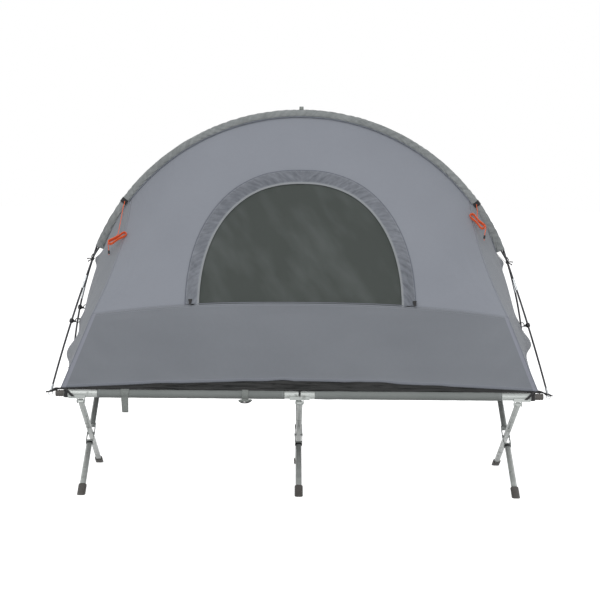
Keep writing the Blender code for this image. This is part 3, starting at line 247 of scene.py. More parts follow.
def swept_tube(points, radius, sides, swell=None, flat=1.0, twist=0.0):
    """A closed tube along a path, with its flat map in metres.

    Swell scales it at each point, flat presses its section to a share of its width and twist is the
    angle that the section turns on the way.
    """
    rings = []
    side = None
    for before, point, after in zip(points[:1] + points, points, points[1:] + points[-1:]):
        along = (after - before).normalized()
        side = side or along.orthogonal()
        side = (side - along * side.dot(along)).normalized()
        rings.append((point, side, along.cross(side)))

    def place(around, along):
        index = round(along * (len(points) - 1))
        point, first, second = rings[index]
        turn = math.radians(360) * around
        reach = radius * (swell[index] if swell else 1.0)
        wide, thin = math.cos(turn) * reach, math.sin(turn) * reach * flat
        turned = twist * along
        a, b = math.cos(turned), math.sin(turned)
        return point + first * (wide * a - thin * b) + second * (wide * b + thin * a)

    shape = bent_grid(sides, len(points) - 1, place, (2 * math.pi * radius, path_length(points)))
    bmesh.ops.remove_doubles(shape, verts=shape.verts, dist=0.000001)
    return close_ends(shape)


def smooth_route(points, spacing):
    """A smooth curve through a route's own points, read off at even steps."""
    points = [Vector(point) for point in points]
    ends = [2 * points[0] - points[1]] + points + [2 * points[-1] - points[-2]]
    fine = []
    for index in range(1, len(ends) - 2):
        before, first, second, after = ends[index - 1 : index + 3]
        for step in range(12):
            t = step / 12
            bend = (2 * before - 5 * first + 4 * second - after) * t**2
            twist = (3 * first - before - 3 * second + after) * t**3
            fine.append(0.5 * (2 * first + (second - before) * t + bend + twist))
    fine.append(points[-1].copy())
    lengths = [0.0]
    for first, second in zip(fine, fine[1:]):
        lengths.append(lengths[-1] + (second - first).length)
    count = max(2, round(lengths[-1] / spacing))
    route = []
    index = 0
    for step in range(count + 1):
        goal = lengths[-1] * step / count
        while index < len(fine) - 2 and lengths[index + 1] < goal:
            index += 1
        share = (goal - lengths[index]) / (lengths[index + 1] - lengths[index])
        route.append(fine[index].lerp(fine[index + 1], share))
    return route


def stadium_point(share, half_straight, radius):
    """A point on an outline of two runs and two half circles, from the middle of a run."""
    arc = math.pi * radius
    way = share * (4 * half_straight + 2 * arc)
    if way < half_straight:
        return way, radius
    way -= half_straight
    if way < arc:
        angle = math.radians(90) - way / radius
        return half_straight + radius * math.cos(angle), radius * math.sin(angle)
    way -= arc
    if way < 2 * half_straight:
        return half_straight - way, -radius
    way -= 2 * half_straight
    if way < arc:
        angle = -math.radians(90) - way / radius
        return -half_straight + radius * math.cos(angle), radius * math.sin(angle)
    return -half_straight + (way - arc), radius


rope_radius, rope_bend, rope_step = 0.0015, 0.008, 0.010
hank_radius, hank_half_length, hank_waist = 0.0103, 0.0435, 0.42
hank_layer_step, hank_loops, loop_steps = 0.00367, 4, 24
tab_front, entry_run, leave_run = 0.0156, 0.014, 0.006


def hank_points(centre, along, normal):
    """The loops of a hank and the start of one more, layer on layer and drawn in at the waist."""
    sideways = normal.cross(along).normalized()
    points = []
    for index in range(hank_loops * loop_steps + loop_steps // 6 + 1):
        turn = index / loop_steps
        a, b = stadium_point(turn % 1.0, hank_half_length - hank_radius, hank_radius)
        pinch = math.cos(min(1.0, abs(a) / hank_half_length) * math.radians(90)) ** 2
        height = (turn - hank_loops / 2) * hank_layer_step
        waist = 1 - hank_waist * pinch
        points.append(centre + along * a + sideways * (b * waist) + normal * height)
    return points


# The ridge arc is a circle about an axis along Y; angles run from its top, positive to the right.
ridge_centre, sleeve_radius = 0.621, 0.898
tab_angle = math.radians(53.8)


def ridge_place(angle, radius):
    return Vector((math.sin(angle) * radius, 0.0, ridge_centre + math.cos(angle) * radius))


def rope_points(side, lead, hank, tail):
    """All the points of a guy rope, from the front edge of its tab to its free end."""
    tied = ridge_place(side * tab_angle, sleeve_radius) - Vector((0, tab_front, 0))
    away = tied - Vector((0, 2 * rope_radius, 0))
    turns = [math.radians(degrees) for degrees in (0, 30, 60, 90)]
    bend = [away + Vector((0, -math.sin(t), math.cos(t) - 1)) * rope_bend for t in turns]
    centre, along, normal = (Vector(value) for value in hank)
    normal = normal.normalized()
    along = (along - normal * along.dot(normal)).normalized()
    loops = hank_points(centre, along, normal)
    entry = loops[0] + (normal.cross(along) * 0.5 - along) * entry_run
    leave = loops[-1] + (loops[-1] - loops[-2]).normalized() * leave_run
    first = smooth_route([bend[-1], *lead, entry, loops[0]], rope_step)
    last = smooth_route([loops[-1], leave, *tail], rope_step)
    return [tied] + bend[:-1] + first[:-1] + loops + last[1:]


rope_finish, start, plug = new_finish("rope_orange", 0.78, sheen=0.3)
around, along = start.flat_map()
strands = (along * 2400.0 + around * 1300.0).wave()
counter = (along * 2400.0 - around * 1300.0).wave()
braid = start.maths("MAXIMUM", strands, counter)
worn = start.cloudy(90.0)
shade = (braid * 0.25 + worn * 0.5).within(-0.1, 0.75)
plug(shade.between(paint(214, 62, 16), paint(255, 116, 46)), "Base Color")
plug(braid.bump(0.0004, 0.6), "Normal")
toggle_finish = grained("toggle_black", (14, 14, 15), (34, 34, 36), 0.45, 500.0)

rope_routes = {
    "left": (
        -1,
        [(-0.7290, -0.0340, 1.1300), (-0.7330, -0.0800, 1.0890), (-0.7370, -0.1260, 1.0500)],
        ((-0.7420, -0.1680, 1.0070), (-0.780, -0.410, -0.473), (0.0, 0.744, -0.668)),
        [(-0.7790, -0.1790, 0.9800), (-0.7760, -0.1800, 0.9620), (-0.7750, -0.1800, 0.9400)],
    ),
    "right": (
        1,
        [(0.7270, -0.0320, 1.1300), (0.7260, -0.0460, 1.1140)],
        ((0.7220, -0.0920, 1.0850), (0.590, -0.555, -0.590), (0.0, -0.744, 0.668)),
        [(0.7545, -0.1240, 1.0560), (0.7500, -0.1290, 1.0360), (0.7480, -0.1300, 1.0090)],
    ),
}
for side_name, route in rope_routes.items():
    path = rope_points(*route)
    rope = tent_piece("rope_" + side_name, swept_tube(path, rope_radius, 12), rope_finish)
    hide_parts("guy_rope_" + side_name)
    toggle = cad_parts["rope_toggle_" + side_name]
    dress(toggle, toggle_finish)
    fold_flat(toggle)
    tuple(path[0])
    path_length(path)

# Ridge tunnel
# A tube of greenish grey polyester sewn along the ridge over both poles, 27 mm wide and 31 mm high. The
# cloth is a little too long for the arc, so its gathers run slantwise round it.
sleeve_end_angle = math.radians(67.8)
sleeve_half_width, sleeve_half_height = 0.0135, 0.0155
tunnel_girth, tunnel_length = 0.108, 2.125
pleat_count, pleat_depth, pucker_depth = 62, 0.0016, 0.0010
cloth_thickness = 0.0008
inside_tent = (0.0, 0.0, 0.6)


def face_away(shape, inside):
    """Closes a rolled grid's seam and turns the faces of a sheet or tube away from a point in it."""
    bmesh.ops.remove_doubles(shape, verts=shape.verts, dist=0.00001)
    bmesh.ops.recalc_face_normals(shape, faces=shape.faces)
    middle = Vector(inside)
    far = max(shape.faces, key=lambda face: (face.calc_center_median() - middle).length)
    if far.normal.dot(far.calc_center_median() - middle) < 0:
        bmesh.ops.reverse_faces(shape, faces=shape.faces)
    return shape


def cloth_finish(name, light, dark, trims=(), seams=(), crease=0.35, crinkle=0.0, roughness=0.72):
    """Woven polyester: fine threads, soft patches and creases, and stripes and rows of thread.

    A trim is an axis of the flat map, its low and high edge and its colour; a seam is an axis and
    the place of its row of thread, all in metres. Crinkle is the strength of the sharp slanting
    folds of cloth that is gathered along a seam, both in the bump and as painted shade and painted
    highlight of those folds in the colour.
    """
    material, start, plug = new_finish(name, roughness, sheen=0.12, specular=0.3)
    axes = start.flat_map()
    threads = axes[0].wave(5700.0) * axes[1].wave(5700.0)
    patches = start.cloudy(2.2, 2.0)
    creases = start.cloudy(8.0, 3.0, (1.0, 1.0, 2.0))
    small = start.cloudy(60.0)
    slant_folds_and_shade = start.cloudy(40.0, 2.0, (0.5, 2.6, 1.0), (0.0, 0.0, 0.75), "UV").within(0.3, 0.7)
    # The slanting folds are also painted into the colour, light and dark, as shade and highlight.
    mottle_and_fold_shade = patches * 0.8 + small * 0.22 + threads * 0.05 + (slant_folds_and_shade - 0.5) * (crinkle * 0.45)
    colour = mottle_and_fold_shade.within(0.25, 0.8).between(paint(*dark), paint(*light))
    height = creases * crease + small * 0.05 + threads * 0.015 + slant_folds_and_shade * (crinkle * 0.3)
    for axis, low, high, stripe in trims:
        mask = axes[axis].band(low, high)
        colour = mask.between(colour, paint(*stripe))
        height = height + mask * 0.03
    for axis, row in seams:
        stitch = axes[axis].band(row - 0.0003, row + 0.0003)
        gaps = axes[1 - axis].wave(1400.0).within(-0.5, -0.2)
        colour = (stitch * gaps * 0.8).between(colour, paint(164, 168, 174))
        height = height - axes[axis].band(row - 0.0012, row + 0.0012, 0.001) * 0.06
    plug(colour, "Base Color")
    plug(height.bump(0.010, 0.55), "Normal")
    plug((small * 0.2 + (roughness - 0.1)).within(0.0, 1.0), "Roughness")
    return material


def flare(angle):
    """How far the tunnel has widened at an angle: 0 up to the tabs, 1 at its ends."""
    return max(0.0, (abs(angle) - tab_angle) / (sleeve_end_angle - tab_angle))


def squarish(value, power=0.7):
    """A sine or cosine, drawn out so that the round that it makes has fuller corners."""
    return math.copysign(abs(value) ** power, value)


def sleeve_point(angle, turn, grow=0.0):
    """A point on the tunnel's outside; turn goes round its section, 0 at the rear edge."""
    out = Vector((math.sin(angle), 0.0, math.cos(angle)))
    high = squarish(math.sin(turn))
    high *= 1.0 if high > 0 else 1.0 + 0.5 * flare(angle)
    wide = Vector((0, (sleeve_half_width + grow) * squarish(math.cos(turn)), 0))
    return ridge_place(angle, sleeve_radius) + wide + out * ((sleeve_half_height + grow) * high)


def gathered(around, along):
    """The tunnel's surface with its slanting gathers and loose puckers."""
    angle = sleeve_end_angle * (2 * along - 1)
    turn = math.radians(360) * around
    here = Vector((math.cos(turn) * 1.1, math.sin(turn) * 1.1, along * 16))
    slant = along * pleat_count - 6 * around + 1.1 * noise.noise(here)
    loose = 0.35 + 0.65 * max(0.0, noise.noise(Vector((along * 21, 4.1, around))) + 0.35)
    pleat = math.sin(slant * 2 * math.pi) * pleat_depth * loose
    pucker = noise.noise(Vector((math.cos(turn), math.sin(turn), along * 40))) * pucker_depth
    return sleeve_point(angle, turn, pleat + pucker - 0.0003)


# Crinkle paints the shade and highlight of the tunnel's slanting gathers into its colour.
tunnel_finish = cloth_finish(
    "tunnel_cloth",
    (151, 155, 155),
    (121, 125, 125),
    seams=[(1, 0.012), (1, tunnel_length - 0.012)],
    crease=0.5,
    crinkle=0.8,
)
shape = face_away(bent_grid(48, 430, gathered, (tunnel_girth, tunnel_length)), inside_tent)
tunnel = tent_piece("ridge_tunnel", shape, tunnel_finish, cloth_thickness)
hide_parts("ridge_sleeve")

# Ridge seams
# The tunnel's two lower edges are sewn to the panels with their raw edges turned in, which leaves a thin
# bluish cord of doubled cloth along each side of the ridge.
front_rear = (("front", -1), ("rear", 1))
seam_arc_radius, seam_y, seam_radius = 0.8836, 0.0116, 0.0018
seam_finish = cloth_finish("ridge_seam_cloth", (134, 139, 149), (112, 117, 127), crease=0.8)
for side_name, side in front_rear:
    edge = []
    for step in range(301):
        angle = sleeve_end_angle * (step / 150 - 1)
        radius = seam_arc_radius - sleeve_half_height * 0.5 * flare(angle)
        edge.append(ridge_place(angle, radius) + Vector((0, side * seam_y, 0)))
    loose = [0.9 + 0.3 * noise.noise(place * 40) for place in edge]
    shape = swept_tube(edge, seam_radius, 10, loose)
    tent_piece("ridge_seam_" + side_name, shape, seam_finish)

# Webbing tabs
# Two black woven tabs, 20 mm wide, sewn over the tunnel where the guy ropes are tied, and a pair of
# small grey loops of the same webbing at the top of the ridge. They are flat webbing, folded over.


def webbing_finish(name, dark, light):
    """Flat woven webbing with ribs across it and a fuzzy surface."""
    material, start, plug = new_finish(name, 0.85, sheen=0.2)
    across, along = start.flat_map()
    ribs = along.wave(3600.0) * across.wave(1500.0)
    fuzz = start.cloudy(220.0)
    plug((fuzz + ribs * 0.2).within(0.1, 0.9).between(paint(*dark), paint(*light)), "Base Color")
    plug((ribs * 0.5 + fuzz * 0.5).bump(0.0006, 0.7), "Normal")
    return material


def ribbon(points, width, sideways):
    """Flat webbing along a path, with its flat map in metres; width is a number or one at each point."""
    widths = width if isinstance(width, list) else [width] * len(points)

    def place(across, along):
        index = round(along * (len(points) - 1))
        return points[index] + sideways * (widths[index] * (across - 0.5))

    shape = bent_grid(6, len(points) - 1, place, (max(widths), path_length(points)))
    bmesh.ops.recalc_face_normals(shape, faces=shape.faces)
    return shape


black_webbing = webbing_finish("webbing_black", (20, 20, 21), (52, 52, 53))
grey_webbing = webbing_finish("webbing_grey", (112, 117, 114), (146, 151, 147))
left_right = (("left", -1), ("right", 1))
along_x = Vector((1, 0, 0))
tab_width, tab_wrap = 0.020, math.radians(250)
loop_half_depth, loop_height, loop_width = 0.0062, 0.0125, 0.0085
webbing_thickness = 0.0014
for side_name, side in left_right:

    def wrapped(around, along):
        angle = side * (tab_angle + (along - 0.5) * tab_width / sleeve_radius)
        return sleeve_point(angle, math.radians(90) + tab_wrap * (around - 0.5), 0.0014)

    shape = face_away(bent_grid(36, 6, wrapped, (0.075, tab_width)), inside_tent)
    tab = tent_piece("tab_" + side_name, shape, black_webbing, 0.0013, 0.0)
    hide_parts("ridge_sleeve")
    foot = ridge_place(side * 0.0048, sleeve_radius + sleeve_half_height - 0.001)
    loop = []
    for step in range(17):
        turn = math.radians(180) * step / 16
        arch = Vector((0, -loop_half_depth * math.cos(turn), loop_height * math.sin(turn) ** 0.7))
        loop.append(foot + arch)
    shape = ribbon(loop, loop_width, along_x)
    tent_piece("top_loop_" + side_name, shape, grey_webbing, webbing_thickness, 0.0)

# Tent front
# The sloping front panel of grey coated polyester, cut in one piece from the ridge to the seam over the
# wall, with a window cut out. It hangs between the ridge and the seam and creases from its corners.
tent_finish = cloth_finish("tent_cloth", (144, 148, 156), (134, 138, 146), seams=[(1, 0.006)])
panel_ridge_radius = 0.886
seam_top_x, seam_corner_x, wall_y = 0.700, 0.8216, 0.420
seam_height, seam_droop = 0.769, 0.050
panel_sag, broad_wave, small_wave = 0.005, 0.0045, 0.0014
corner_crease, upper_crease, window_cut = 0.0017, 0.0010, 0.022
window_sill, window_top, window_half, window_power = 0.760, 1.236, 0.402, 2.28
tuck_in = Vector((0, 0.0006, -0.004))


def ridge_height(x):
    return ridge_centre + math.sqrt(panel_ridge_radius**2 - x**2)


def wall_height(share):
    return seam_height - seam_droop * abs(share) ** 2.5


def seam_x(drop):
    return seam_top_x + (seam_corner_x - seam_top_x) * drop**1.7


def panel_point(share, drop, ridge_y=0.0033):
    """A point of the front panel, from the ridge at drop 0 to the top of the wall at drop 1."""
    top = ridge_height(seam_top_x * share)
    y = -ridge_y - (wall_y - ridge_y) * drop
    return Vector((seam_x(drop) * share, y, top + (wall_height(share) - top) * drop))


def panel_outward(share, drop):
    """The way that the front panel faces."""
    along = panel_point(min(share + 0.01, 1), drop) - panel_point(max(share - 0.01, -1), drop)
    down = panel_point(share, min(drop + 0.01, 1)) - panel_point(share, max(drop - 0.01, 0))
    facing = along.cross(down).normalized()
    return -facing if facing.y > 0 else facing


def ripple(point, scale, depth, seed=0.0):
    return noise.noise(Vector(point) * scale + Vector((seed, 0, 0))) * depth


def front_cloth(across, up):
    """The front panel: a slight sag, broad soft waves, creases from its corners, a tucked lower edge."""
    share, drop = 2 * across - 1, 1 - up
    point = panel_point(share, drop)
    edge = min(1.0, 7 * min(drop, 1 - drop), 9 * (1 - abs(share)))
    sag = -panel_sag * math.sin(math.pi * drop) * (1 - share**2)
    waves = ripple(point, 4.0, broad_wave) + ripple(point, 11.0, small_wave, 5.0)
    reach = math.hypot((1 - abs(share)) * 1.6, 1 - drop)
    fan = math.atan2(1 - drop, (1 - abs(share)) * 1.6 + 0.001)
    corner = math.exp(-((reach / 0.45) ** 2)) * math.sin(fan * 17) * corner_crease
    upper = math.exp(-((drop / 0.3) ** 2)) * math.sin(share * 34 + drop * 9) * upper_crease
    tucked = tuck_in if up < 0.0002 else Vector()
    return point + panel_outward(share, drop) * (edge * (sag + waves + corner + upper)) + tucked


def in_window(x, z, grow):
    wide = abs(x / (window_half + grow)) ** window_power
    high = max(0.0, (z - window_sill) / (window_top + grow - window_sill)) ** window_power
    return wide + high < 1.0


def tent_sheet(name, shape, finish, node, flat, area):
    """A panel of the tent's cloth in place of a CAD node, which it hides. Flat and area, the size that it
    was cut to, are not used.
    """
    panel = tent_piece(name, shape, finish, cloth_thickness)
    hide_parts(node)
    return panel


shape = face_away(bent_grid(180, 84, front_cloth, (1.6, 0.86)), inside_tent)
centres = {face: face.calc_center_median() for face in shape.faces}
opened = [face for face, centre in centres.items() if in_window(centre.x, centre.z, window_cut)]
bmesh.ops.delete(shape, geom=opened, context="FACES")
tent_front = tent_sheet("tent_front", shape, tent_finish, "canopy_front", (1.64, 0.86), 0.78)

# Low front wall
# A band of the same cloth sewn under the front panel, which stands upright on the bed's edge. Its
# colour is a darker copy of the panel's, painted shade for the upright face. Its seam is felled and
# stitched twice, and its hem is folded over a tape and waves over the black bed cloth.
hem_corner_x, rail_top = 0.944, 0.4203
rim_rise, rim_droop, rim_run = 0.040, 0.034, 0.948
wall_lean, hem_clear = 0.0015, 0.0003
seam_pucker, wall_wave, wall_ripple, corner_drag = 0.0016, 0.0050, 0.0012, 0.0016
felled_depth, hem_depth, hem_lift = 0.0013, 0.0014, 0.0070


def rim_height(x):
    """How high the black rim of the bed cloth stands at a place along the bed."""
    return rail_top + rim_rise - rim_droop * min(1.0, abs(x) / rim_run) ** 1.5


def wall_point(share, fall):
    """A point of the low wall, from the seam at fall 0 to the hem at fall 1."""
    low = rim_height(hem_corner_x * share) + hem_clear
    x = (seam_corner_x + (hem_corner_x - seam_corner_x) * fall) * share
    y = -wall_y + wall_lean * fall
    return Vector((x, y, wall_height(share) + (low - wall_height(share)) * fall))


def wall_cloth(across, up):
    share, fall = 2 * across - 1, 1 - up
    point = wall_point(share, fall)
    edge = min(1.0, 7 * min(fall, 1 - fall) + 0.1, 12 * (1 - abs(share)))
    pucker = ripple((point.x * 26, 0.3, point.z * 5), 1.0, seam_pucker) * math.exp(-fall * 6)
    wave = ripple(point, 3.6, wall_wave, 2.0)
    wave += ripple((point.x * 9, 0, point.z * 16), 1.0, wall_ripple)
    from_side = 1 - abs(share)
    drag = math.exp(-((from_side / 0.13) ** 2)) * math.sin(fall * 19 - from_side * 46) * corner_drag
    felled = felled_depth * math.exp(-((fall / 0.03) ** 4))
    hem = hem_depth * math.exp(-(((1 - fall) / 0.05) ** 4))
    raised = max(0.0, noise.noise(Vector((point.x * 8, 8.3, 0))))
    lift = hem_lift * raised * max(0.0, fall - 0.9) * 10
    out = edge * (wave + pucker + drag) + felled + hem
    return point + Vector((0, -out, lift * (1 - abs(share)) * 2))


# The wall's colours are a darker copy of the front panel's cloth: painted shade for the upright wall.
shaded_wall_finish = cloth_finish(
    "wall_cloth",
    (133, 137, 143),
    (122, 126, 132),
    trims=[
        (1, 0.0, 0.014, (124, 128, 136)),
        # The lighter bluish stripes at the wall's two ends mark the corner seams and are painted
        # highlight where the corners catch the light.
        (0, 0.003, 0.018, (145, 148, 158)),
        (0, 1.752, 1.767, (145, 148, 158)),
    ],
    seams=[(1, 0.013), (1, 0.321), (1, 0.328)],
)
shape = face_away(bent_grid(190, 60, wall_cloth, (1.77, 0.33)), inside_tent)
tent_sheet("tent_wall", shape, shaded_wall_finish, "canopy_front", (1.90, 0.33), 0.56)

# Tent rear
# The rear of the tent, which the photograph doesn't show, is taken as the same panel and wall without
# a window, cut and sewn in the same way.
for name, source, finish, columns, rows, flat, area in (
    ("tent_rear", front_cloth, tent_finish, 150, 70, (1.64, 0.86), 1.27),
    ("tent_rear_wall", wall_cloth, shaded_wall_finish, 150, 60, (1.77, 0.33), 0.56),
):

    def turned_round(across, up):
        point = source(across, up)
        return Vector((-point.x, -point.y, point.z))

    shape = face_away(bent_grid(columns, rows, turned_round, flat), inside_tent)
    tent_sheet(name, shape, finish, "canopy_rear", flat, area)

# Tent ends
# Each end is one panel of the same cloth between the two corner seams. Ties draw its top out to the
# poles' knot and two tapes draw its middle to the poles, and slack cloth pouts outwards under them.
widening, end_foot_x, end_tuck = 0.0095, 0.950, 0.0045
end_slack, end_pucker, knot_pull, tape_pull = 0.0060, 0.0022, 0.017, 0.010
end_top = ridge_place(sleeve_end_angle, panel_ridge_radius - widening)


def middle_x(z):
    """How far out the end panel stands over the bed's centre line at a height."""
    if z > end_top.z:
        angle = math.acos(min(1.0, (z - ridge_centre) / panel_ridge_radius))
        radius = panel_ridge_radius - widening * flare(angle)
        return math.sqrt(radius**2 - (z - ridge_centre) ** 2)
    share = (end_top.z - z) / (end_top.z - rim_height(rim_run))
    return end_top.x + (end_foot_x - end_top.x) * share**0.85


def hill(y, z, middle_y, middle_z, wide, high):
    """A soft round hill of the cloth, 1 at its middle."""
    return math.exp(-(((z - middle_z) / high) ** 2) - ((y - middle_y) / wide) ** 2)


def end_cloth(across, up, side):
    """The end panel on the right, with the slack of one side or the other."""
    row = 8 * (1 - up)
    seam = panel_point(1.0, row / 6, 0.0) if row <= 6 else wall_point(1.0, (row - 6) / 2)
    share = 2 * across - 1
    y = -seam.y * share * 0.999
    x = seam.x + (middle_x(seam.z) - seam.x) * (1 - share**2)
    edge = min(1.0, 6 * (1 - abs(share)), 5 * up + 0.05, 30 * (1 - up))
    slack = ripple((x, y, seam.z), 5.0, end_slack, side * 3.0)
    slack += ripple((y * 24, side * 2.0, seam.z * 6), 1.0, end_pucker)
    pulls = hill(y, seam.z, 0.0, 0.912, 0.035, 0.022) * knot_pull
    for tape_y, tape_z in ((-0.135, 0.668), (0.110, 0.702) if side < 0 else (0.190, 0.600)):
        pulls += hill(y, seam.z, tape_y, tape_z, 0.05, 0.028) * tape_pull
    pout_z, pout = (0.520, 0.068) if side < 0 else (0.575, 0.058)
    pouted = hill(y, seam.z, -0.05, pout_z, 0.16, 0.055 if seam.z > pout_z else 0.028) * pout
    if side > 0:
        pouted += hill(y, seam.z, -0.10, 0.455, 0.16, 0.028) * 0.012
    tucked = end_tuck if up < 0.0002 else 0.0
    return Vector((x + edge * (slack + pouted) + pulls, y, seam.z - tucked))


end_finish = cloth_finish(
    "end_cloth", (141, 145, 151), (127, 131, 136), seams=[(0, 0.006), (0, 0.844)], crease=0.6
)
for side_name, side in left_right:

    def end_side(across, up):
        point = end_cloth(across, up, side)
        return Vector((side * point.x, point.y, point.z))

    shape = face_away(bent_grid(96, 110, end_side, (0.85, 0.95)), inside_tent)
    name, node = "tent_end_" + side_name, "canopy_" + side_name + "_end"
    tent_sheet(name, shape, end_finish, node, (0.86, 0.95), 0.54)

# Corner welts
# Where the sides and the ends of the tent meet, their edges are turned in and stitched together, which
# leaves a narrow welt of doubled cloth down each corner from the ridge to the hem. Its colour is painted
# lighter than the cloth, to outweigh the shade on the thin welt and to show the corners catching light.
# Painted light: the welt's colour is lighter than the cloth that it is made of.
welt_painted_light_finish = cloth_finish("welt_cloth", (152, 156, 165), (138, 142, 150), crease=0.8)
welt_radius = 0.0014
for side_name, side in front_rear:
    for end_name, end in left_right:
        corner = [panel_point(1.0, step / 40) for step in range(1, 41)]
        corner += [wall_point(1.0, step / 20) for step in range(1, 21)]
        corner = [Vector((end * p.x, -side * p.y, p.z)) for p in corner]
        loose = [0.9 + 0.25 * noise.noise(p * 40) for p in corner]
        shape = swept_tube(corner, welt_radius, 8, loose)
        tent_piece("corner_welt_" + side_name + "_" + end_name, shape, welt_painted_light_finish)

# Window net
# Dark insect net sewn into the arch. It is fine enough to hide the inside of the tent, and the light
# catches it in soft slanting streaks where it is stretched.
net_reach, net_lift, net_behind, net_slack = 0.030, 0.0005, 0.0012, 0.004
net_finish, start, plug = new_finish("insect_net", 0.85, sheen=0.1, specular=0.2)
across, along = start.flat_map()
mesh_holes = across.wave(4200.0) * along.wave(4200.0)
streaks = start.cloudy(9.0, 2.5, (0.7, 1.0, 4.0), (0.0, -0.55, 0.0))
plug(streaks.within(0.42, 0.74).between(paint(77, 82, 79), paint(91, 96, 94)), "Base Color")
plug(mesh_holes.bump(0.0005, 0.4), "Normal")
plug((mesh_holes * 0.12 + 0.90).within(0.0, 1.0), "Alpha")


def arch_point(angle, grow):
    """A point of the window's arch, as x and height; angle runs from the right foot to the left."""
    c, s = math.cos(angle), math.sin(angle)
    x = (window_half + grow) * squarish(c, 2 / window_power)
    return x, window_sill + (window_top + grow - window_sill) * s ** (2 / window_power)


def on_front(x, z, proud=0.0):
    """The place of the front panel at an x and a height, stood proud of the cloth."""
    low, high = 0.0, 1.0
    for _ in range(24):
        drop = (low + high) / 2
        share = x / seam_x(drop)
        top = ridge_height(seam_top_x * share)
        if top + (wall_height(share) - top) * drop > z:
            low = drop
        else:
            high = drop
    return front_cloth((share + 1) / 2, 1 - drop) + panel_outward(share, drop) * proud


def net_place(across, up):
    x, high = arch_point(math.radians(180) * (1 - across), net_reach)
    low = wall_height(x / seam_corner_x) + net_lift
    point = on_front(x, low + (high - low) * up, -net_behind)
    free = math.sin(math.pi * across) * math.sin(math.pi * min(1.0, up + 0.02))
    slack = ripple((point.x * 7, 1.0, point.z * 3), 1.0, net_slack) * free
    return point - panel_outward(0.0, 0.5) * slack


shape = face_away(bent_grid(90, 40, net_place, (0.86, 0.5)), inside_tent)
net = tent_piece("window_screen", shape, net_finish)
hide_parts("window_net")

# Storm flap band
# A doubled band of cloth, 54 mm wide, sewn round the arch over the zip. It is gathered on the curve, so
# it puckers slantwise, and its inner edge is a narrow flat hem of lighter binding beside the net.
band_width, band_proud, band_folds, band_puff, fold_depth = 0.054, 0.0026, 290, 0.0030, 0.0030
# Crinkle paints the shade and highlight of the band's slanting puckers into its colour.
flap_finish = cloth_finish(
    "flap_cloth",
    (132, 136, 143),
    (98, 102, 109),
    trims=[(1, 0.0, 0.0055, (148, 152, 155)), (1, 0.0565, 0.061, (104, 109, 119))],
    seams=[(1, 0.0080), (1, 0.0535)],
    crease=0.7,
    crinkle=0.9,
)


def band_place(along, across):
    x, z = arch_point(math.radians(180) * along, band_width * across)
    drift = 1.6 * noise.noise(Vector((along * 14, across * 1.5, 0)))
    fold = math.sin(min(along, 1 - along) * band_folds + across * 9 + 6 * drift)
    fold *= 0.35 + max(0.0, noise.noise(Vector((along * 22, 3.0, across))) + 0.3)
    body = math.sin(math.pi * across) ** 0.7
    free = max(0.0, min(1.0, (across - 0.16) * 8))
    return on_front(x, z, band_proud + (band_puff + fold_depth * fold) * body * free)


shape = face_away(bent_grid(560, 20, band_place, (1.62, 0.06)), inside_tent)
flat = shape.loops.layers.uv["flat"]
for face in shape.faces:
    if face.calc_center_median().x < 0:
        for loop in face.loops:
            loop[flat].uv.x = 3.0 - loop[flat].uv.x
flap = tent_piece("window_band", shape, flap_finish, 0.0010)
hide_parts("window_flap")

# Window binding
# A light woven tape folded over the raw edge of the net and stitched down, all round the arch. Along
# the sill a narrow roll of the tent's own cloth covers that edge instead.
binding_finish = grained("binding_light", (138, 142, 145), (160, 164, 167), 0.7, 240.0, 0.0, 0.0006)
binding_radius, binding_inset, binding_proud = 0.0017, 0.001, 0.0030
sill_radius, sill_half_length, sill_lift, sill_proud = 0.0023, 0.404, 0.0025, 0.0016
arch = []
for step in range(121):
    x, z = arch_point(math.radians(180) * step / 120, -binding_inset)
    arch.append(on_front(x, z, binding_proud))
tent_piece("window_binding", swept_tube(arch, binding_radius, 8), binding_finish)
sill = []
for step in range(61):
    x = sill_half_length * (step / 30 - 1)
    sill.append(on_front(x, wall_height(x / seam_corner_x) + sill_lift, sill_proud))
sill_finish = cloth_finish("sill_cloth", (120, 124, 131), (104, 108, 114), crease=0.6)
tent_piece("window_sill", swept_tube(sill, sill_radius, 8), sill_finish)

# Zip sliders
# Two small black sliders, each a moulded body with a pull tab on a pin, parked at the feet of the arch
# where the two halves of the zip end under the band.
slider_height, slider_proud, slider_edge = 0.770, 0.0110, 0.0006
slider_body, slider_pull = (0.0160, 0.014, 0.006), (0.0090, 0.014, 0.0024)
slider_finish = grained("slider_black", (5, 5, 6), (18, 18, 20), 0.6, 600.0)


def add_block(shape, size, place=(0, 0, 0)):
    """Puts a block of this size, with its middle at a place, into a shape and gives its corners."""
    corners = bmesh.ops.create_cube(shape, size=1.0)["verts"]
    bmesh.ops.scale(shape, vec=size, verts=corners)
    bmesh.ops.translate(shape, vec=place, verts=corners)
    return corners


def rounded(shape, edges, radius):
    """Rounds these edges of a shape."""
    bmesh.ops.bevel(
        shape, geom=edges, offset=radius, segments=2, profile=0.5, affect="EDGES", material=-1
    )
    return shape


for side_name, x in (("left", -0.434), ("right", 0.450)):
    facing = panel_outward(x / seam_x(1.0), 0.97)
    across = Vector((-1, 0, 0))
    down = facing.cross(across).normalized()
    place = on_front(x, slider_height, slider_proud)
    slider = bmesh.new()
    tapered = [v for v in add_block(slider, slider_body) if v.co.y > 0]
    bmesh.ops.scale(slider, vec=(0.6, 1, 1), verts=tapered)
    add_block(slider, slider_pull, (0.0, 0.010, 0.0038))
    rounded(slider, slider.edges[:], slider_edge)
    bmesh.ops.recalc_face_normals(slider, faces=slider.faces)
    stand = Matrix((across, down, facing)).transposed().to_4x4()
    bmesh.ops.transform(slider, matrix=Matrix.Translation(place) @ stand, verts=slider.verts)
    tent_piece("zip_slider_" + side_name, slider, slider_finish)

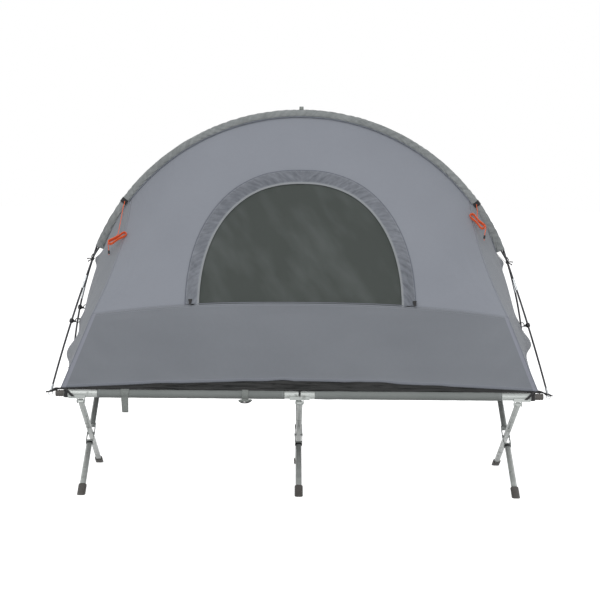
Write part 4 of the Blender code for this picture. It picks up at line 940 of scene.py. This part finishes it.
# Bed cloth
# Black coated polyester stretched between the rails, with a loose rim that crumples lengthwise and is
# sewn in 9 mm behind the tent's hem, and grey sleeves that the rails run through.
floor_half_length, floor_half_width, floor_height, floor_ripple = 0.949, 0.417, 0.4221, 0.0008
rim_half_length, rim_y, rim_foot, rim_behind_hem = 0.940, 0.4172, 0.4206, 0.009
rim_crumple, rim_wrinkle, rim_lean = 0.0066, 0.0016, 0.0012
sleeve_start, sleeve_length, sleeve_girth = 0.060, 0.740, 0.105
sleeve_reach, sleeve_lump = 0.0166, 0.0008
bed_thickness, rim_thickness, rail_sleeve_thickness = 0.0012, 0.0010, 0.0007
bed_finish, start, plug = new_finish("bed_cloth_black", 0.5, sheen=0.02, specular=0.4)
across, along = start.flat_map()
threads = across.wave(5200.0) * along.wave(5200.0)
dull = start.cloudy(16.0, 4.0, (3.0, 1.0, 0.30))
plug((dull + threads * 0.05).within(0.3, 0.75).between(paint(4, 5, 5), paint(21, 23, 23)), "Base Color")
plug((dull + threads * 0.02).bump(0.010, 0.7), "Normal")
plug((dull * 0.5 + 0.14).within(0.0, 1.0), "Roughness")


def bed_floor_place(across, along):
    x, y = floor_half_length * (2 * across - 1), floor_half_width * (2 * along - 1)
    return Vector((x, y, floor_height + ripple((x, y, 0.0), 7.0, floor_ripple)))


shape = face_away(bent_grid(120, 60, bed_floor_place, (1.9, 0.84)), (0, 0, 0.3))
bed_floor = tent_piece("bed_floor", shape, bed_finish, bed_thickness)
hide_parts("bed_cloth")

sleeve_finish = cloth_finish(
    "rail_sleeve_cloth", (134, 138, 136), (115, 120, 118), seams=[(1, 0.008), (1, 0.732)], crease=0.6
)
rail_z = 0.405
rail_lines = (("front", -1, "front_rail"), ("rear", 1, "rear_rail"))


def on_axis(x, side):
    """A point on the axis of the front rail, side -1, or of the rear one."""
    return Vector((x, side * rail_y, rail_z))


for side_name, side, body in rail_lines:

    def rim_place(across, up):
        x = rim_half_length * (2 * across - 1)
        high = rim_height(x) + rim_behind_hem
        long_fold = noise.noise(Vector((x * 7, side * 3.0, up * 5.6 + x * 2.6)))
        fine = noise.noise(Vector((x * 34, side * 2, up * 9.0)))
        free = math.sin(math.pi * min(1.0, up * 0.85 + 0.1))
        puff = (rim_crumple * long_fold + rim_wrinkle * fine) * free * (1.08 - abs(across * 2 - 1))
        y = side * (rim_y - rim_lean * up + puff)
        return Vector((x, y, rim_foot + (high - rim_foot) * up))

    shape = face_away(bent_grid(460, 16, rim_place, (1.88, 0.04)), (0, 0, 0.44))
    rim = tent_piece("bed_rim_" + side_name, shape, bed_finish, rim_thickness)
    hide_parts("bed_cloth")
    for end_name, end in left_right:

        def sleeve_place(around, along):
            x = end * (sleeve_start + sleeve_length * along)
            turn = math.radians(360) * around
            lump = noise.noise(Vector((x * 22, math.cos(turn), math.sin(turn) + side)))
            reach = sleeve_reach + sleeve_lump * lump
            return Vector((x, side * rail_y + reach * math.cos(turn), rail_z + reach * math.sin(turn)))

        shape = bent_grid(32, 160, sleeve_place, (sleeve_girth, sleeve_length))
        face_away(shape, on_axis(end * (sleeve_start + sleeve_length / 2), side))
        name = "rail_sleeve_" + side_name + "_" + end_name
        sleeve = new_piece(name, shape, sleeve_finish, body, rail_sleeve_thickness)
        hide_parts("bed_cloth")

# Hanging straps
# Two grey webbing straps on the front rail, for tying the folded bed: one hangs down with its end free,
# the other is rolled up and held under the rail by its black hook.
strap_thickness, strap_reach = 0.0016, 0.0185
free_strap_x, free_strap_width, free_strap_narrowing = -0.6905, 0.036, 0.011
rolled_strap_x, rolled_band_width, roll_radius, hook_radius = -0.2150, 0.026, 0.0068, 0.0026
roll_x, roll_y, roll_z, roll_step, hang_step = -0.2420, -0.4230, 0.3825, 0.0045, 0.0062


def round_rail(x, first, last, steps):
    """Points round the front rail's sleeve at a place along it; 0 degrees is its rear, 90 its top."""
    turns = [math.radians(first + (last - first) * step / steps) for step in range(steps + 1)]
    return [on_axis(x, -1) + Vector((0, math.cos(t), math.sin(t))) * strap_reach for t in turns]


free_strap = round_rail(free_strap_x, 60, 215, 16)
last = free_strap[-1]
for step in range(1, 11):
    hang = Vector((0.00028 * step, -0.0015 * math.sin(step / 4), -hang_step * step))
    free_strap.append(last + hang)
final = len(free_strap) - 1
widths = [free_strap_width - free_strap_narrowing * index / final for index in range(final + 1)]
rolled_band = round_rail(rolled_strap_x, 40, 300, 26)
for name, points, width in (
    ("strap_free", free_strap, widths),
    ("strap_rolled_band", rolled_band, rolled_band_width),
):
    shape = ribbon(points, width, along_x)
    new_piece(name, shape, grey_webbing, "front_rail", strap_thickness, 0.0)
roll = []
for step in range(13):
    roll.append(Vector((roll_x + roll_step * step, roll_y, roll_z - 0.0020 * math.sin(step * 0.9))))
fat = [0.3, 0.75, 0.95, 0.9, 1.0, 1.05, 0.95, 1.05, 1.0, 0.9, 0.98, 0.7, 0.3]
shape = swept_tube(roll, roll_radius, 16, fat)
new_piece("strap_rolled", shape, grey_webbing, "front_rail")
hook_finish = grained("hook_black", (20, 20, 21), (48, 48, 50), 0.45, 500.0)
hook = smooth_route([(-0.2330, -0.4290, 0.3765), (-0.2250, -0.4300, 0.3745), (-0.2080, -0.4300, 0.3745),
                     (-0.1990, -0.4290, 0.3775), (-0.1960, -0.4280, 0.3830)], 0.002)
new_piece("strap_hook", swept_tube(hook, hook_radius, 12), hook_finish, "front_rail")

# Poles
# Two black glass-fibre poles, 8 mm thick, run together through the ridge tunnel and part below it to
# the four corners. Bright steel ferrules join their lengths and cap their tips.
pole_finish = grained("fibreglass_black", (32, 33, 35), (62, 64, 68), 0.34, 60.0)
ferrule_finish = grained("ferrule_steel", (170, 174, 176), (214, 217, 219), 0.3, 160.0, 1.0, 0.0003)
knot_angle = math.radians(71.2)
pole_arc_radius, pole_radius, pole_side, ferrule_radius = 0.906, 0.004, 0.0043, 0.0048
tip_place = Vector((0.982, rail_y, 0.414))
pole_end, tip_start = 0.972, 0.958
front_inward, rear_inward, inward_span = 0.0095, -0.0027, math.radians(9)


def splay_point(share, side_x, side_y):
    """A pole's centre between its tie and its tip; share runs from 0 at the tie to 1 at the tip."""
    tie = ridge_place(knot_angle, pole_arc_radius)
    drop, span = tie.z - tip_place.z, tip_place.x - tie.x
    start_slope = math.cos(knot_angle) / math.sin(knot_angle) * drop / span
    x = tie.x + span * (start_slope * share + (1 - start_slope) * share**2)
    y = pole_side + (tip_place.y - pole_side) * share**1.55
    return Vector((side_x * x, side_y * y, tie.z - drop * share))


ferrules = {
    "front": {"left": (0.137, 0.237), "right": (0.137, 0.228)},
    "rear": {"left": (0.240, 0.340), "right": (0.163, 0.255)},
}
for side_name, side in front_rear:
    arc = []
    most_inward = front_inward if side < 0 else rear_inward
    for step in range(-70, 71):
        angle = knot_angle * step / 70
        near = min(1.0, (knot_angle - abs(angle)) / inward_span)
        inward = (0.5 - 0.5 * math.cos(math.radians(360) * near)) * most_inward
        arc.append(ridge_place(angle, pole_arc_radius - inward) + Vector((0, side * pole_side, 0)))
    left = [splay_point(pole_end * (1 - step / 40), -1, side) for step in range(40)]
    right = [splay_point(pole_end * (step + 1) / 40, 1, side) for step in range(40)]
    shape = swept_tube(left + arc + right, pole_radius, 16)
    pole = tent_piece("tent_pole_" + side_name, shape, pole_finish)
    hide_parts("pole_" + side_name)
    for end_name, end in left_right:
        joint = ferrules[side_name][end_name]
        for part_name, (low, high) in (("ferrule", joint), ("tip", (tip_start, 1.0))):
            path = [splay_point(low + (high - low) * step / 12, end, side) for step in range(13)]
            shape = swept_tube(path, ferrule_radius, 16, [0.86, 1.0] + [0.98] * 9 + [1.0, 0.86])
            name = "pole_" + part_name + "_" + side_name + "_" + end_name
            tent_piece(name, shape, ferrule_finish)

# Knots at the poles
# Below each end of the tunnel a black cord ties the two poles together, wound round them four times
# and knotted in front, with three short ends left standing. A tape draws the end panel up to it.
turns_radius, turns_half_width, turns_half_depth, turns_pitch = 0.0014, 0.0098, 0.0056, 0.0025
knot_radius, knot_front, knot_reach, knot_bulge, knot_lift = 0.0019, 0.0118, 0.0036, 0.0010, 0.0016
tie_end_radius, corner_tape_width, corner_tape_thickness = 0.0021, 0.007, 0.0012
cord_finish, start, plug = new_finish("tie_black", 0.8, sheen=0.2)
around, along = start.flat_map()
braid = (along * 2600.0 + around * 1500.0).wave()
shade = (braid * 0.2 + start.cloudy(120.0)).within(0.0, 0.9)
plug(shade.between(paint(18, 18, 19), paint(46, 46, 48)), "Base Color")
plug(braid.bump(0.0004, 0.5), "Normal")
for side_name, side in left_right:
    out = Vector((side * math.sin(knot_angle), 0, math.cos(knot_angle)))
    down = Vector((side * math.cos(knot_angle), 0, -math.sin(knot_angle)))
    tie = ridge_place(side * knot_angle, pole_arc_radius)
    wound = []
    for step in range(4 * 24 + 1):
        turn = math.radians(360) * step / 24
        wide = Vector((0, turns_half_width * math.cos(turn), 0))
        deep = out * (turns_half_depth * math.sin(turn))
        wound.append(tie + wide + deep + down * (turns_pitch * (step / 24 - 2)))
    tent_piece("tie_turns_" + side_name, swept_tube(wound, turns_radius, 10), cord_finish)
    front = tie + Vector((0, -knot_front, 0))
    knot = []
    for step in range(37):
        turn = math.radians(360) * step / 36
        reach = knot_reach + knot_bulge * math.cos(3 * turn)
        lift = Vector((0, -knot_lift * math.sin(3 * turn), 0))
        knot.append(front + (out * math.cos(2 * turn) + down * math.sin(2 * turn)) * reach + lift)
    tent_piece("tie_knot_" + side_name, swept_tube(knot, knot_radius, 10), cord_finish)
    ends = (
        (out * 0.006 - down * 0.010, out * 0.003 - down * 0.021),
        (out * 0.010 + down * 0.001, out * 0.021 + down * 0.006),
        (out * 0.007 + down * 0.008, out * 0.014 + down * 0.016),
    )
    for index, (half_way, end_place) in enumerate(ends):
        step_out = Vector((0, -0.003, 0))
        path = smooth_route([front, front + half_way + step_out, front + end_place], 0.002)
        swell = [1.0] * (len(path) - 3) + [1.25, 1.3, 1.1]
        name = "tie_end_" + side_name + "_" + "abc"[index]
        tent_piece(name, swept_tube(path, tie_end_radius, 8, swell), cord_finish)
    corner = Vector((side * (end_top.x - 0.002), 0, end_top.z + 0.001))
    drawn = []
    for step in range(13):
        sag = Vector((0, -0.002, -0.002 * math.sin(math.pi * step / 12)))
        drawn.append(corner.lerp(tie - out * 0.006, step / 12) + sag)
    tape = ribbon(drawn, corner_tape_width, Vector((0, 1, 0)))
    name = "corner_tape_" + side_name
    tent_piece(name, tape, black_webbing, corner_tape_thickness, 0.0)

# Pole clips
# Black plastic clips snap round the poles below the tunnel. Each hangs on a steel ring at the end of a
# short black tape that is sewn to the tent's end panel.
clip_finish = grained("clip_black", (15, 15, 16), (40, 40, 42), 0.42, 500.0)
ring_finish = grained("ring_steel", (28, 29, 30), (66, 68, 70), 0.36, 300.0, 0.3, 0.0002)


def spun(profile, steps):
    """A closed outline, as radius and height, turned once round Z."""
    shape = bmesh.new()
    corners = [shape.verts.new((radius, 0.0, height)) for radius, height in profile]
    edges = [shape.edges.new(pair) for pair in zip(corners, corners[1:] + corners[:1])]
    bmesh.ops.spin(
        shape, geom=corners + edges, axis=(0, 0, 1), cent=(0, 0, 0), angle=math.radians(360),
        steps=steps, use_merge=True,
    )
    bmesh.ops.remove_doubles(shape, verts=shape.verts, dist=0.000001)
    bmesh.ops.recalc_face_normals(shape, faces=shape.faces)
    return shape


def stood(shape, place, axis, forward):
    """Moves a shape's Z to an axis and its X as near as may be to a way forward."""
    up = axis.normalized()
    sideways = up.cross(forward).normalized()
    turn = Matrix((sideways.cross(up), sideways, up)).transposed().to_4x4()
    bmesh.ops.transform(shape, matrix=Matrix.Translation(place) @ turn, verts=shape.verts)
    return shape


clips = {
    "front_left": (-1, -1, 0.668),
    "rear_left": (-1, 1, 0.702),
    "front_right": (1, -1, 0.665),
    "rear_right": (1, 1, 0.600),
}
clip_bore, clip_rim, clip_half_height = 0.0046, 0.0011, 0.008
clip_radius, clip_shoulder = 0.0092, (0.0084, 0.0065)
shank_size, shank_edge = (0.0105, 0.0060, 0.0100), 0.0008
shank_out, ring_out, tape_out = 0.0118, 0.0245, 0.0318
ring_radius, wire_radius, tape_width = 0.0088, 0.0018, 0.018
splay_top, end_edge_x, end_half_width = 0.9130, 0.856, 0.417
along_z = Vector((0, 0, 1))
for clip_name, (end, side, height) in clips.items():
    share = (ridge_place(knot_angle, pole_arc_radius).z - height) / (splay_top - tip_place.z)
    pole_at = splay_point(share, end, side)
    pole_way = splay_point(share + 0.02, end, side) - splay_point(share - 0.02, end, side)
    bow = middle_x(height) - end_edge_x
    sewn_x = middle_x(height) - bow * (pole_at.y / end_half_width) ** 2
    sewn = Vector((end * (sewn_x - 0.004), pole_at.y * 0.94, height + 0.002))
    inward = (sewn - pole_at).normalized()
    upper = [clip_shoulder, (clip_bore + clip_rim, clip_half_height),
             (clip_bore, clip_half_height - clip_rim)]
    collar = [(radius, -high) for radius, high in upper[::-1]] + [(clip_radius, 0.0)] + upper
    shape = stood(spun(collar, 24), pole_at, pole_way, inward)
    tent_piece("clip_collar_" + clip_name, shape, clip_finish)
    shank = bmesh.new()
    corners = add_block(shank, shank_size, (shank_out, 0, 0))
    narrow = [v for v in corners if v.co.x > shank_out]
    bmesh.ops.scale(shank, vec=(1, 0.75, 0.6), verts=narrow)
    shape = stood(rounded(shank, shank.edges[:], shank_edge), pole_at, pole_way, inward)
    tent_piece("clip_shank_" + clip_name, shape, clip_finish)
    turns = [math.radians(45 * step) for step in range(8)]
    wire = [(ring_radius + wire_radius * math.cos(t), wire_radius * math.sin(t)) for t in turns]
    ring_at = pole_at + inward * ring_out
    shape = stood(spun(wire, 32), ring_at, Vector((0, 1, 0)) - inward * inward.y, inward)
    tent_piece("clip_ring_" + clip_name, shape, ring_finish)
    tape_start = pole_at + inward * tape_out
    way = sewn - tape_start
    tape = []
    for step in range(13):
        sag = Vector((0, 0, -0.0015 * math.sin(math.pi * step / 12)))
        tape.append(tape_start + way * (step / 12) + sag)
    shape = ribbon(tape, tape_width, along_z)
    tent_piece("clip_tape_" + clip_name, shape, black_webbing, webbing_thickness, 0.0)

# Rails and their end caps
# Each rail is two lengths of thin aluminium tube, 30 mm across, with a satin silver coat and turned lips.
# A ribbed plastic knob is pressed into each outer end.
silver_finish, start, plug = new_finish("silver_tube", 0.40, metallic=0.3)
drawn = start.cloudy(30.0, 4.0, (8.0, 1.0, 1.0))
fine = start.cloudy(420.0, 2.0)
scuff = start.cloudy(26.0, 6.0).within(0.60, 0.68)
tone = drawn.within(0.3, 0.75).between(paint(172, 177, 174), paint(198, 202, 199))
plug(scuff.between(tone, paint(150, 154, 151)), "Base Color")
plug((drawn * 0.2 + fine * 0.12 + scuff * 0.12 + 0.2).within(0.0, 1.0), "Roughness")
plug(fine.bump(0.0002, 0.3), "Normal")
moulded_finish = grained("moulded_grey", (74, 72, 69), (98, 95, 92), 0.6, 260.0)
rail_radius, rail_bore, rail_end, rail_gap = 0.015, 0.0135, 0.931, 0.004
cap_shank, cap_depth, cap_flange = 0.0132, 0.022, 0.0147
cap_foot, rib_pitch, rib_valley, rib_crest = 0.0023, 0.00943, 0.0121, 0.0130
for side_name, side, body in rail_lines:
    for end_name, end in left_right:
        length, lip = rail_end - rail_gap, 0.0005
        outline = [(rail_bore + lip, 0.0), (rail_radius - lip, 0.0), (rail_radius, lip),
                   (rail_radius, length - lip), (rail_radius - lip, length), (rail_bore + lip, length),
                   (rail_bore, length - lip), (rail_bore, lip)]
        way = Vector((end, 0, 0))
        shape = stood(spun(outline, 48), on_axis(end * rail_gap, side), way, along_z)
        rail = new_piece("tube_" + side_name + "_" + end_name, shape, silver_finish, body)
        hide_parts("rail_" + side_name + "_" + end_name)
        outline = [(cap_shank, -cap_depth), (cap_shank, 0.0003), (cap_flange, 0.0003),
                   (cap_flange, 0.0019), (cap_flange - 0.0004, cap_foot)]
        for rib in range(3):
            low = cap_foot + rib * rib_pitch
            outline += [(rib_valley, low + 0.0003), (rib_valley, low + 0.0042), (0.0127, low + 0.0048),
                        (rib_crest, low + 0.0054), (rib_crest, low + 0.0084), (0.0127, low + 0.0092)]
        outline += [(0.0124, 0.0316), (0.0112, 0.0330), (0.0093, 0.0338), (0.0040, 0.0340),
                    (0.0040, -cap_depth)]
        shape = spun(outline, 40)
        rims = [v for v in shape.verts if v.co.xy.length < 0.0041]
        bmesh.ops.scale(shape, vec=(0.02, 0.02, 1.0), verts=rims)
        stood(shape, on_axis(end * rail_end, side), way, along_z)
        name = "end_knob_" + side_name + "_" + end_name
        cap = new_piece(name, shape, moulded_finish, body)
        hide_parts("rail_cap_" + side_name + "_" + end_name)

# Legs
# Three pairs of flat aluminium tube, 24 by 14 mm. In each pair one leg ends in a fork that the other
# passes through, a black collar closes the fork, and moulded boots stand on the floor.
leg_tilt = math.radians(90 - 24.546)
cross_height = 0.184966
leg_low, leg_high = -0.4220, 0.4652
leg_width, leg_thickness = 0.024, 0.014
leg_pairs = (("left", -0.8645), ("middle", 0.0), ("right", 0.8645))
fork_gap, fork_half_depth, fork_edge = 0.062, 0.008, 0.0011
fork_half_width, fork_half_length, slot_half_width, slot_half_length = 0.0155, 0.070, 0.0125, 0.058
collar_low, collar_high, collar_width, collar_thickness = -0.0803, -0.0709, 0.0282, 0.0182
boot_top, boot_length, boot_width, boot_thickness = -0.38027, 0.150, 0.0330, 0.0200
groove_start, groove_count, groove_pitch, groove_depth = 0.008, 5, 0.0095, 0.0014
groove_outline = ((0.0, 0.0), (0.0006, groove_depth), (0.0024, groove_depth), (0.0030, 0.0))
collar_finish = grained("collar_black", (16, 16, 17), (38, 38, 40), 0.5, 260.0)


def flat_tube(stations, sides=40):
    """A tube with a flat rounded section, lofted through heights with their widths and thicknesses."""

    def place(around, along):
        height, width, thickness = stations[round(along * (len(stations) - 1))]
        turn = math.radians(360) * (around + 0.5 / sides)
        x = math.copysign(width / 2 - thickness / 2, math.cos(turn)) + thickness / 2 * math.cos(turn)
        return Vector((x, thickness / 2 * math.sin(turn), height))

    return face_away(bent_grid(sides, len(stations) - 1, place, (0.066, 0.9)), (0, 0, stations[0][0]))


def leg_tube(low, high):
    lip = 0.0006
    outline = [(low, lip), (low + lip, 0.0), (high - lip, 0.0), (high, lip)]
    stations = [(height, leg_width - inset, leg_thickness - inset) for height, inset in outline]
    return close_ends(flat_tube(stations))


def on_leg(shape, x, end):
    """Lays a shape made along Z on a leg of the pair at x; end is -1 on a leg whose foot is in front."""
    lean = Matrix.Translation((x, 0, cross_height)) @ Matrix.Rotation(end * leg_tilt, 4, "X")
    bmesh.ops.transform(shape, matrix=lean, verts=shape.verts)
    return shape


for pair_name, x in leg_pairs:
    through = new_piece("leg_through_" + pair_name, on_leg(leg_tube(leg_low, leg_high), x, 1),
                        silver_finish, "through_legs")
    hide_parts("through_leg_" + pair_name)
    for part_name, low, high in (("upper", fork_gap, leg_high), ("lower", leg_low, -fork_gap)):
        tube = new_piece("leg_" + part_name + "_" + pair_name, on_leg(leg_tube(low, high), x, -1),
                         silver_finish, "forked_legs")
        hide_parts("forked_leg_" + pair_name)
    fork = bmesh.new()
    bmesh.ops.create_grid(fork, x_segments=3, y_segments=3, size=1.5)
    for corner in fork.verts:
        wide = fork_half_width if abs(corner.co.x) > 1 else slot_half_width
        high = fork_half_length if abs(corner.co.y) > 1 else slot_half_length
        side_x = math.copysign(wide, corner.co.x)
        corner.co = Vector((side_x, -fork_half_depth, math.copysign(high, corner.co.y)))
    slot = min(fork.faces, key=lambda face: face.calc_center_median().length)
    bmesh.ops.delete(fork, geom=[slot], context="FACES")
    raised = bmesh.ops.extrude_face_region(fork, geom=fork.faces[:])["geom"]
    raised = [v for v in raised if isinstance(v, bmesh.types.BMVert)]
    bmesh.ops.translate(fork, vec=(0, 2 * fork_half_depth, 0), verts=raised)
    bmesh.ops.recalc_face_normals(fork, faces=fork.faces)
    sharp = [edge for edge in fork.edges if edge.calc_face_angle(0.0) > 1.0]
    shape = on_leg(rounded(fork, sharp, fork_edge), x, -1)
    fork_piece = new_piece("leg_fork_" + pair_name, shape, silver_finish, "forked_legs")
    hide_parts("forked_leg_" + pair_name)
    outline = [(collar_low, 0.0006), (collar_low + 0.0007, 0.0),
               (collar_high - 0.0007, 0.0), (collar_high, 0.0006)]
    rings = [(height, collar_width - inset, collar_thickness - inset) for height, inset in outline]
    collar = new_piece("fork_collar_" + pair_name, on_leg(flat_tube(rings), x, -1),
                       collar_finish, "forked_legs", 0.0019)
    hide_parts("leg_collar_" + pair_name)
    for foot_name, end, body in (("front", -1, "forked_legs"), ("rear", 1, "through_legs")):
        stations = [(0.0, 0.0065, 0.0045), (0.0, 0.0012, 0.0012), (0.0008, 0.0, 0.0)]
        for groove in range(groove_count):
            low = groove_start + groove * groove_pitch
            for drop, inset in groove_outline:
                stations.append((low + drop, inset, inset))
        stations.append((boot_length, 0.0, 0.0))
        stations = [(boot_top - drop, boot_width - side_inset, boot_thickness - face_inset)
                    for drop, side_inset, face_inset in stations]
        boot = on_leg(flat_tube(stations), x, end)
        bmesh.ops.bisect_plane(
            boot, geom=boot.verts[:] + boot.edges[:] + boot.faces[:], dist=0.000001,
            plane_co=(0, 0, 0), plane_no=(0, 0, -1), clear_outer=True,
        )
        name = "boot_" + foot_name + "_" + pair_name
        foot = new_piece(name, close_ends(boot), moulded_finish, body)
        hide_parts(foot_name + "_foot_" + pair_name)

# Rivets
# Plain steel rivets, pressed to a shallow dome at both ends, hold the legs' tops in their saddles and
# the two legs of a pair at their crossing.
rivet_finish = grained("pin_steel", (150, 152, 153), (205, 207, 208), 0.32, 300.0, 1.0, 0.0002)


def rivet(radius, head_radius, half_length):
    """A rivet along Z, the same at both ends."""
    dome = [(radius, half_length), (head_radius, half_length), (head_radius, half_length + 0.0006),
            (head_radius * 0.86, half_length + 0.0013), (head_radius * 0.55, half_length + 0.0018),
            (0.0001, half_length + 0.0020)]
    return spun([(r, -z) for r, z in dome] + dome[::-1], 28)


rivet_half_length, leg_top_height = 0.0158, 0.374498
cross_rivet, rail_rivet = (0.004, 0.0065), (0.003, 0.0055)
for pair_name, x in leg_pairs:
    shape = rivet(*cross_rivet, rivet_half_length)
    stood(shape, Vector((x, 0, cross_height)), along_x, along_z)
    pin = new_piece("rivet_cross_" + pair_name, shape, rivet_finish, "forked_legs")
    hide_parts("cross_pin_" + pair_name)
    for side_name, side, body in rail_lines:
        shape = rivet(*rail_rivet, rivet_half_length)
        stood(shape, Vector((x, side * rail_y, leg_top_height)), along_x, along_z)
        pin = new_piece("rivet_" + side_name + "_" + pair_name, shape, rivet_finish, body)
        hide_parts("rail_pin_" + side_name + "_" + pair_name)

# Saddles, corner straps and their pins
# The saddles are bent aluminium plate under the rails. At each corner black webbing runs over the rail's
# end cap to an eyelet under the pole's tip, and a steel pin with a pull ring holds the tip there.
kept_nodes = {"saddle": silver_finish, "ring_pin": rivet_finish, "corner_strap": black_webbing}
for name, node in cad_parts.items():
    for word, finish in kept_nodes.items():
        if name.startswith(word):
            dress(node, finish)

# Corner webbing
# The tent's corners are pulled out and down with black webbing: a twisted end runs over the cap to the
# eyelet under each pole's tip, and another crosses the rail's outer side slantwise and goes under it.
route = [(0.9365, 0.4190, 0.4272), (0.9480, 0.4172, 0.4246), (0.9600, 0.4156, 0.4232),
         (0.9720, 0.4150, 0.4186), (0.9850, 0.4152, 0.4128), (1.0030, 0.4155, 0.4096)]
lashing_radius, lashing_twist = 0.0064, math.radians(300)
crossing_reach, crossing_width, crossing_top_x, crossing_slant = 0.0206, 0.013, 0.942, 0.0019
for side_name, side, body in rail_lines:
    for end_name, end in left_right:
        name = "_" + side_name + "_" + end_name
        path = smooth_route([(end * x, side * y, z) for x, y, z in route], 0.0015)
        taper = [min(1.0, 0.45 + 0.05 * (len(path) - 1 - index)) for index in range(len(path))]
        shape = swept_tube(path, lashing_radius, 16, taper, 0.5, lashing_twist)
        new_piece("corner_lashing" + name, shape, black_webbing, body)
        crossing = []
        for step in range(27):
            turn = math.radians(70 + 5.5 * step)
            out = Vector((0, side * -math.cos(turn), math.sin(turn))) * crossing_reach
            crossing.append(on_axis(end * (crossing_top_x - crossing_slant * step), side) + out)
        shape = ribbon(crossing, crossing_width, along_x)
        new_piece("corner_crossing" + name, shape, black_webbing, body, webbing_thickness, 0.0)

# Studio
# A plain white floor under a pale sky, with a large soft lamp high in front on the left, a weaker one
# low on the right and one behind. To the camera and in reflections the surroundings are white.
floor_tone, floor_glow = (0.56, 0.56, 0.56, 1.0), (0.86, 0.86, 0.86, 1.0)
floor_shape = bmesh.new()
bmesh.ops.create_grid(floor_shape, x_segments=1, y_segments=1, size=30.0)
bmesh.ops.translate(floor_shape, vec=(0, 0, -0.0005), verts=floor_shape.verts)
floor_mesh = bpy.data.meshes.new("studio_floor")
floor_shape.to_mesh(floor_mesh)
floor_shape.free()
floor = bpy.data.objects.new("studio_floor", floor_mesh)
bpy.context.scene.collection.objects.link(floor)
floor_finish, start, plug = new_finish("studio_white", 0.9, specular=0.0)
floor_shader = floor_finish.node_tree.nodes["Principled BSDF"]
floor_shader.inputs["Base Color"].default_value = floor_tone
floor_shader.inputs["Emission Strength"].default_value = 1.0


def seen_directly(start):
    """1 where the camera sees a surface, straight or in metal, and 0 where it only gives light."""
    seen = [start.node("LightPath", output="Is " + kind + " Ray")
            for kind in ("Camera", "Glossy", "Transmission")]
    return start.maths("MAXIMUM", start.maths("MAXIMUM", seen[0], seen[1]), seen[2])


plug(seen_directly(start).between((0, 0, 0, 1), floor_glow), "Emission Color")
floor_mesh.materials.append(floor_finish)

world = bpy.data.worlds.new("studio_sky")
world.use_nodes = True
bpy.context.scene.world = world
start = Wire(world.node_tree)
sky = seen_directly(start).between((0.64, 0.64, 0.65, 1), (1, 1, 1, 1))
background = world.node_tree.nodes["Background"]
world.node_tree.links.new(sky.socket, background.inputs["Color"])

for name, place, size, power in (
    ("key", (-1.5, -4.6, 4.9), 2.6, 91),
    ("fill", (1.6, -4.6, 1.7), 2.6, 34),
    ("back", (0.5, 4.2, 4.2), 3.0, 60),
):
    lamp_data = bpy.data.lights.new("lamp_" + name, "AREA")
    lamp_data.size = size
    lamp_data.energy = power
    lamp = bpy.data.objects.new("lamp_" + name, lamp_data)
    bpy.context.scene.collection.objects.link(lamp)
    lamp.location = place
    lamp.rotation_euler = (Vector((0, 0, 0.8)) - Vector(place)).to_track_quat("-Z", "Y").to_euler()

bpy.context.scene.view_settings.view_transform = "Standard"
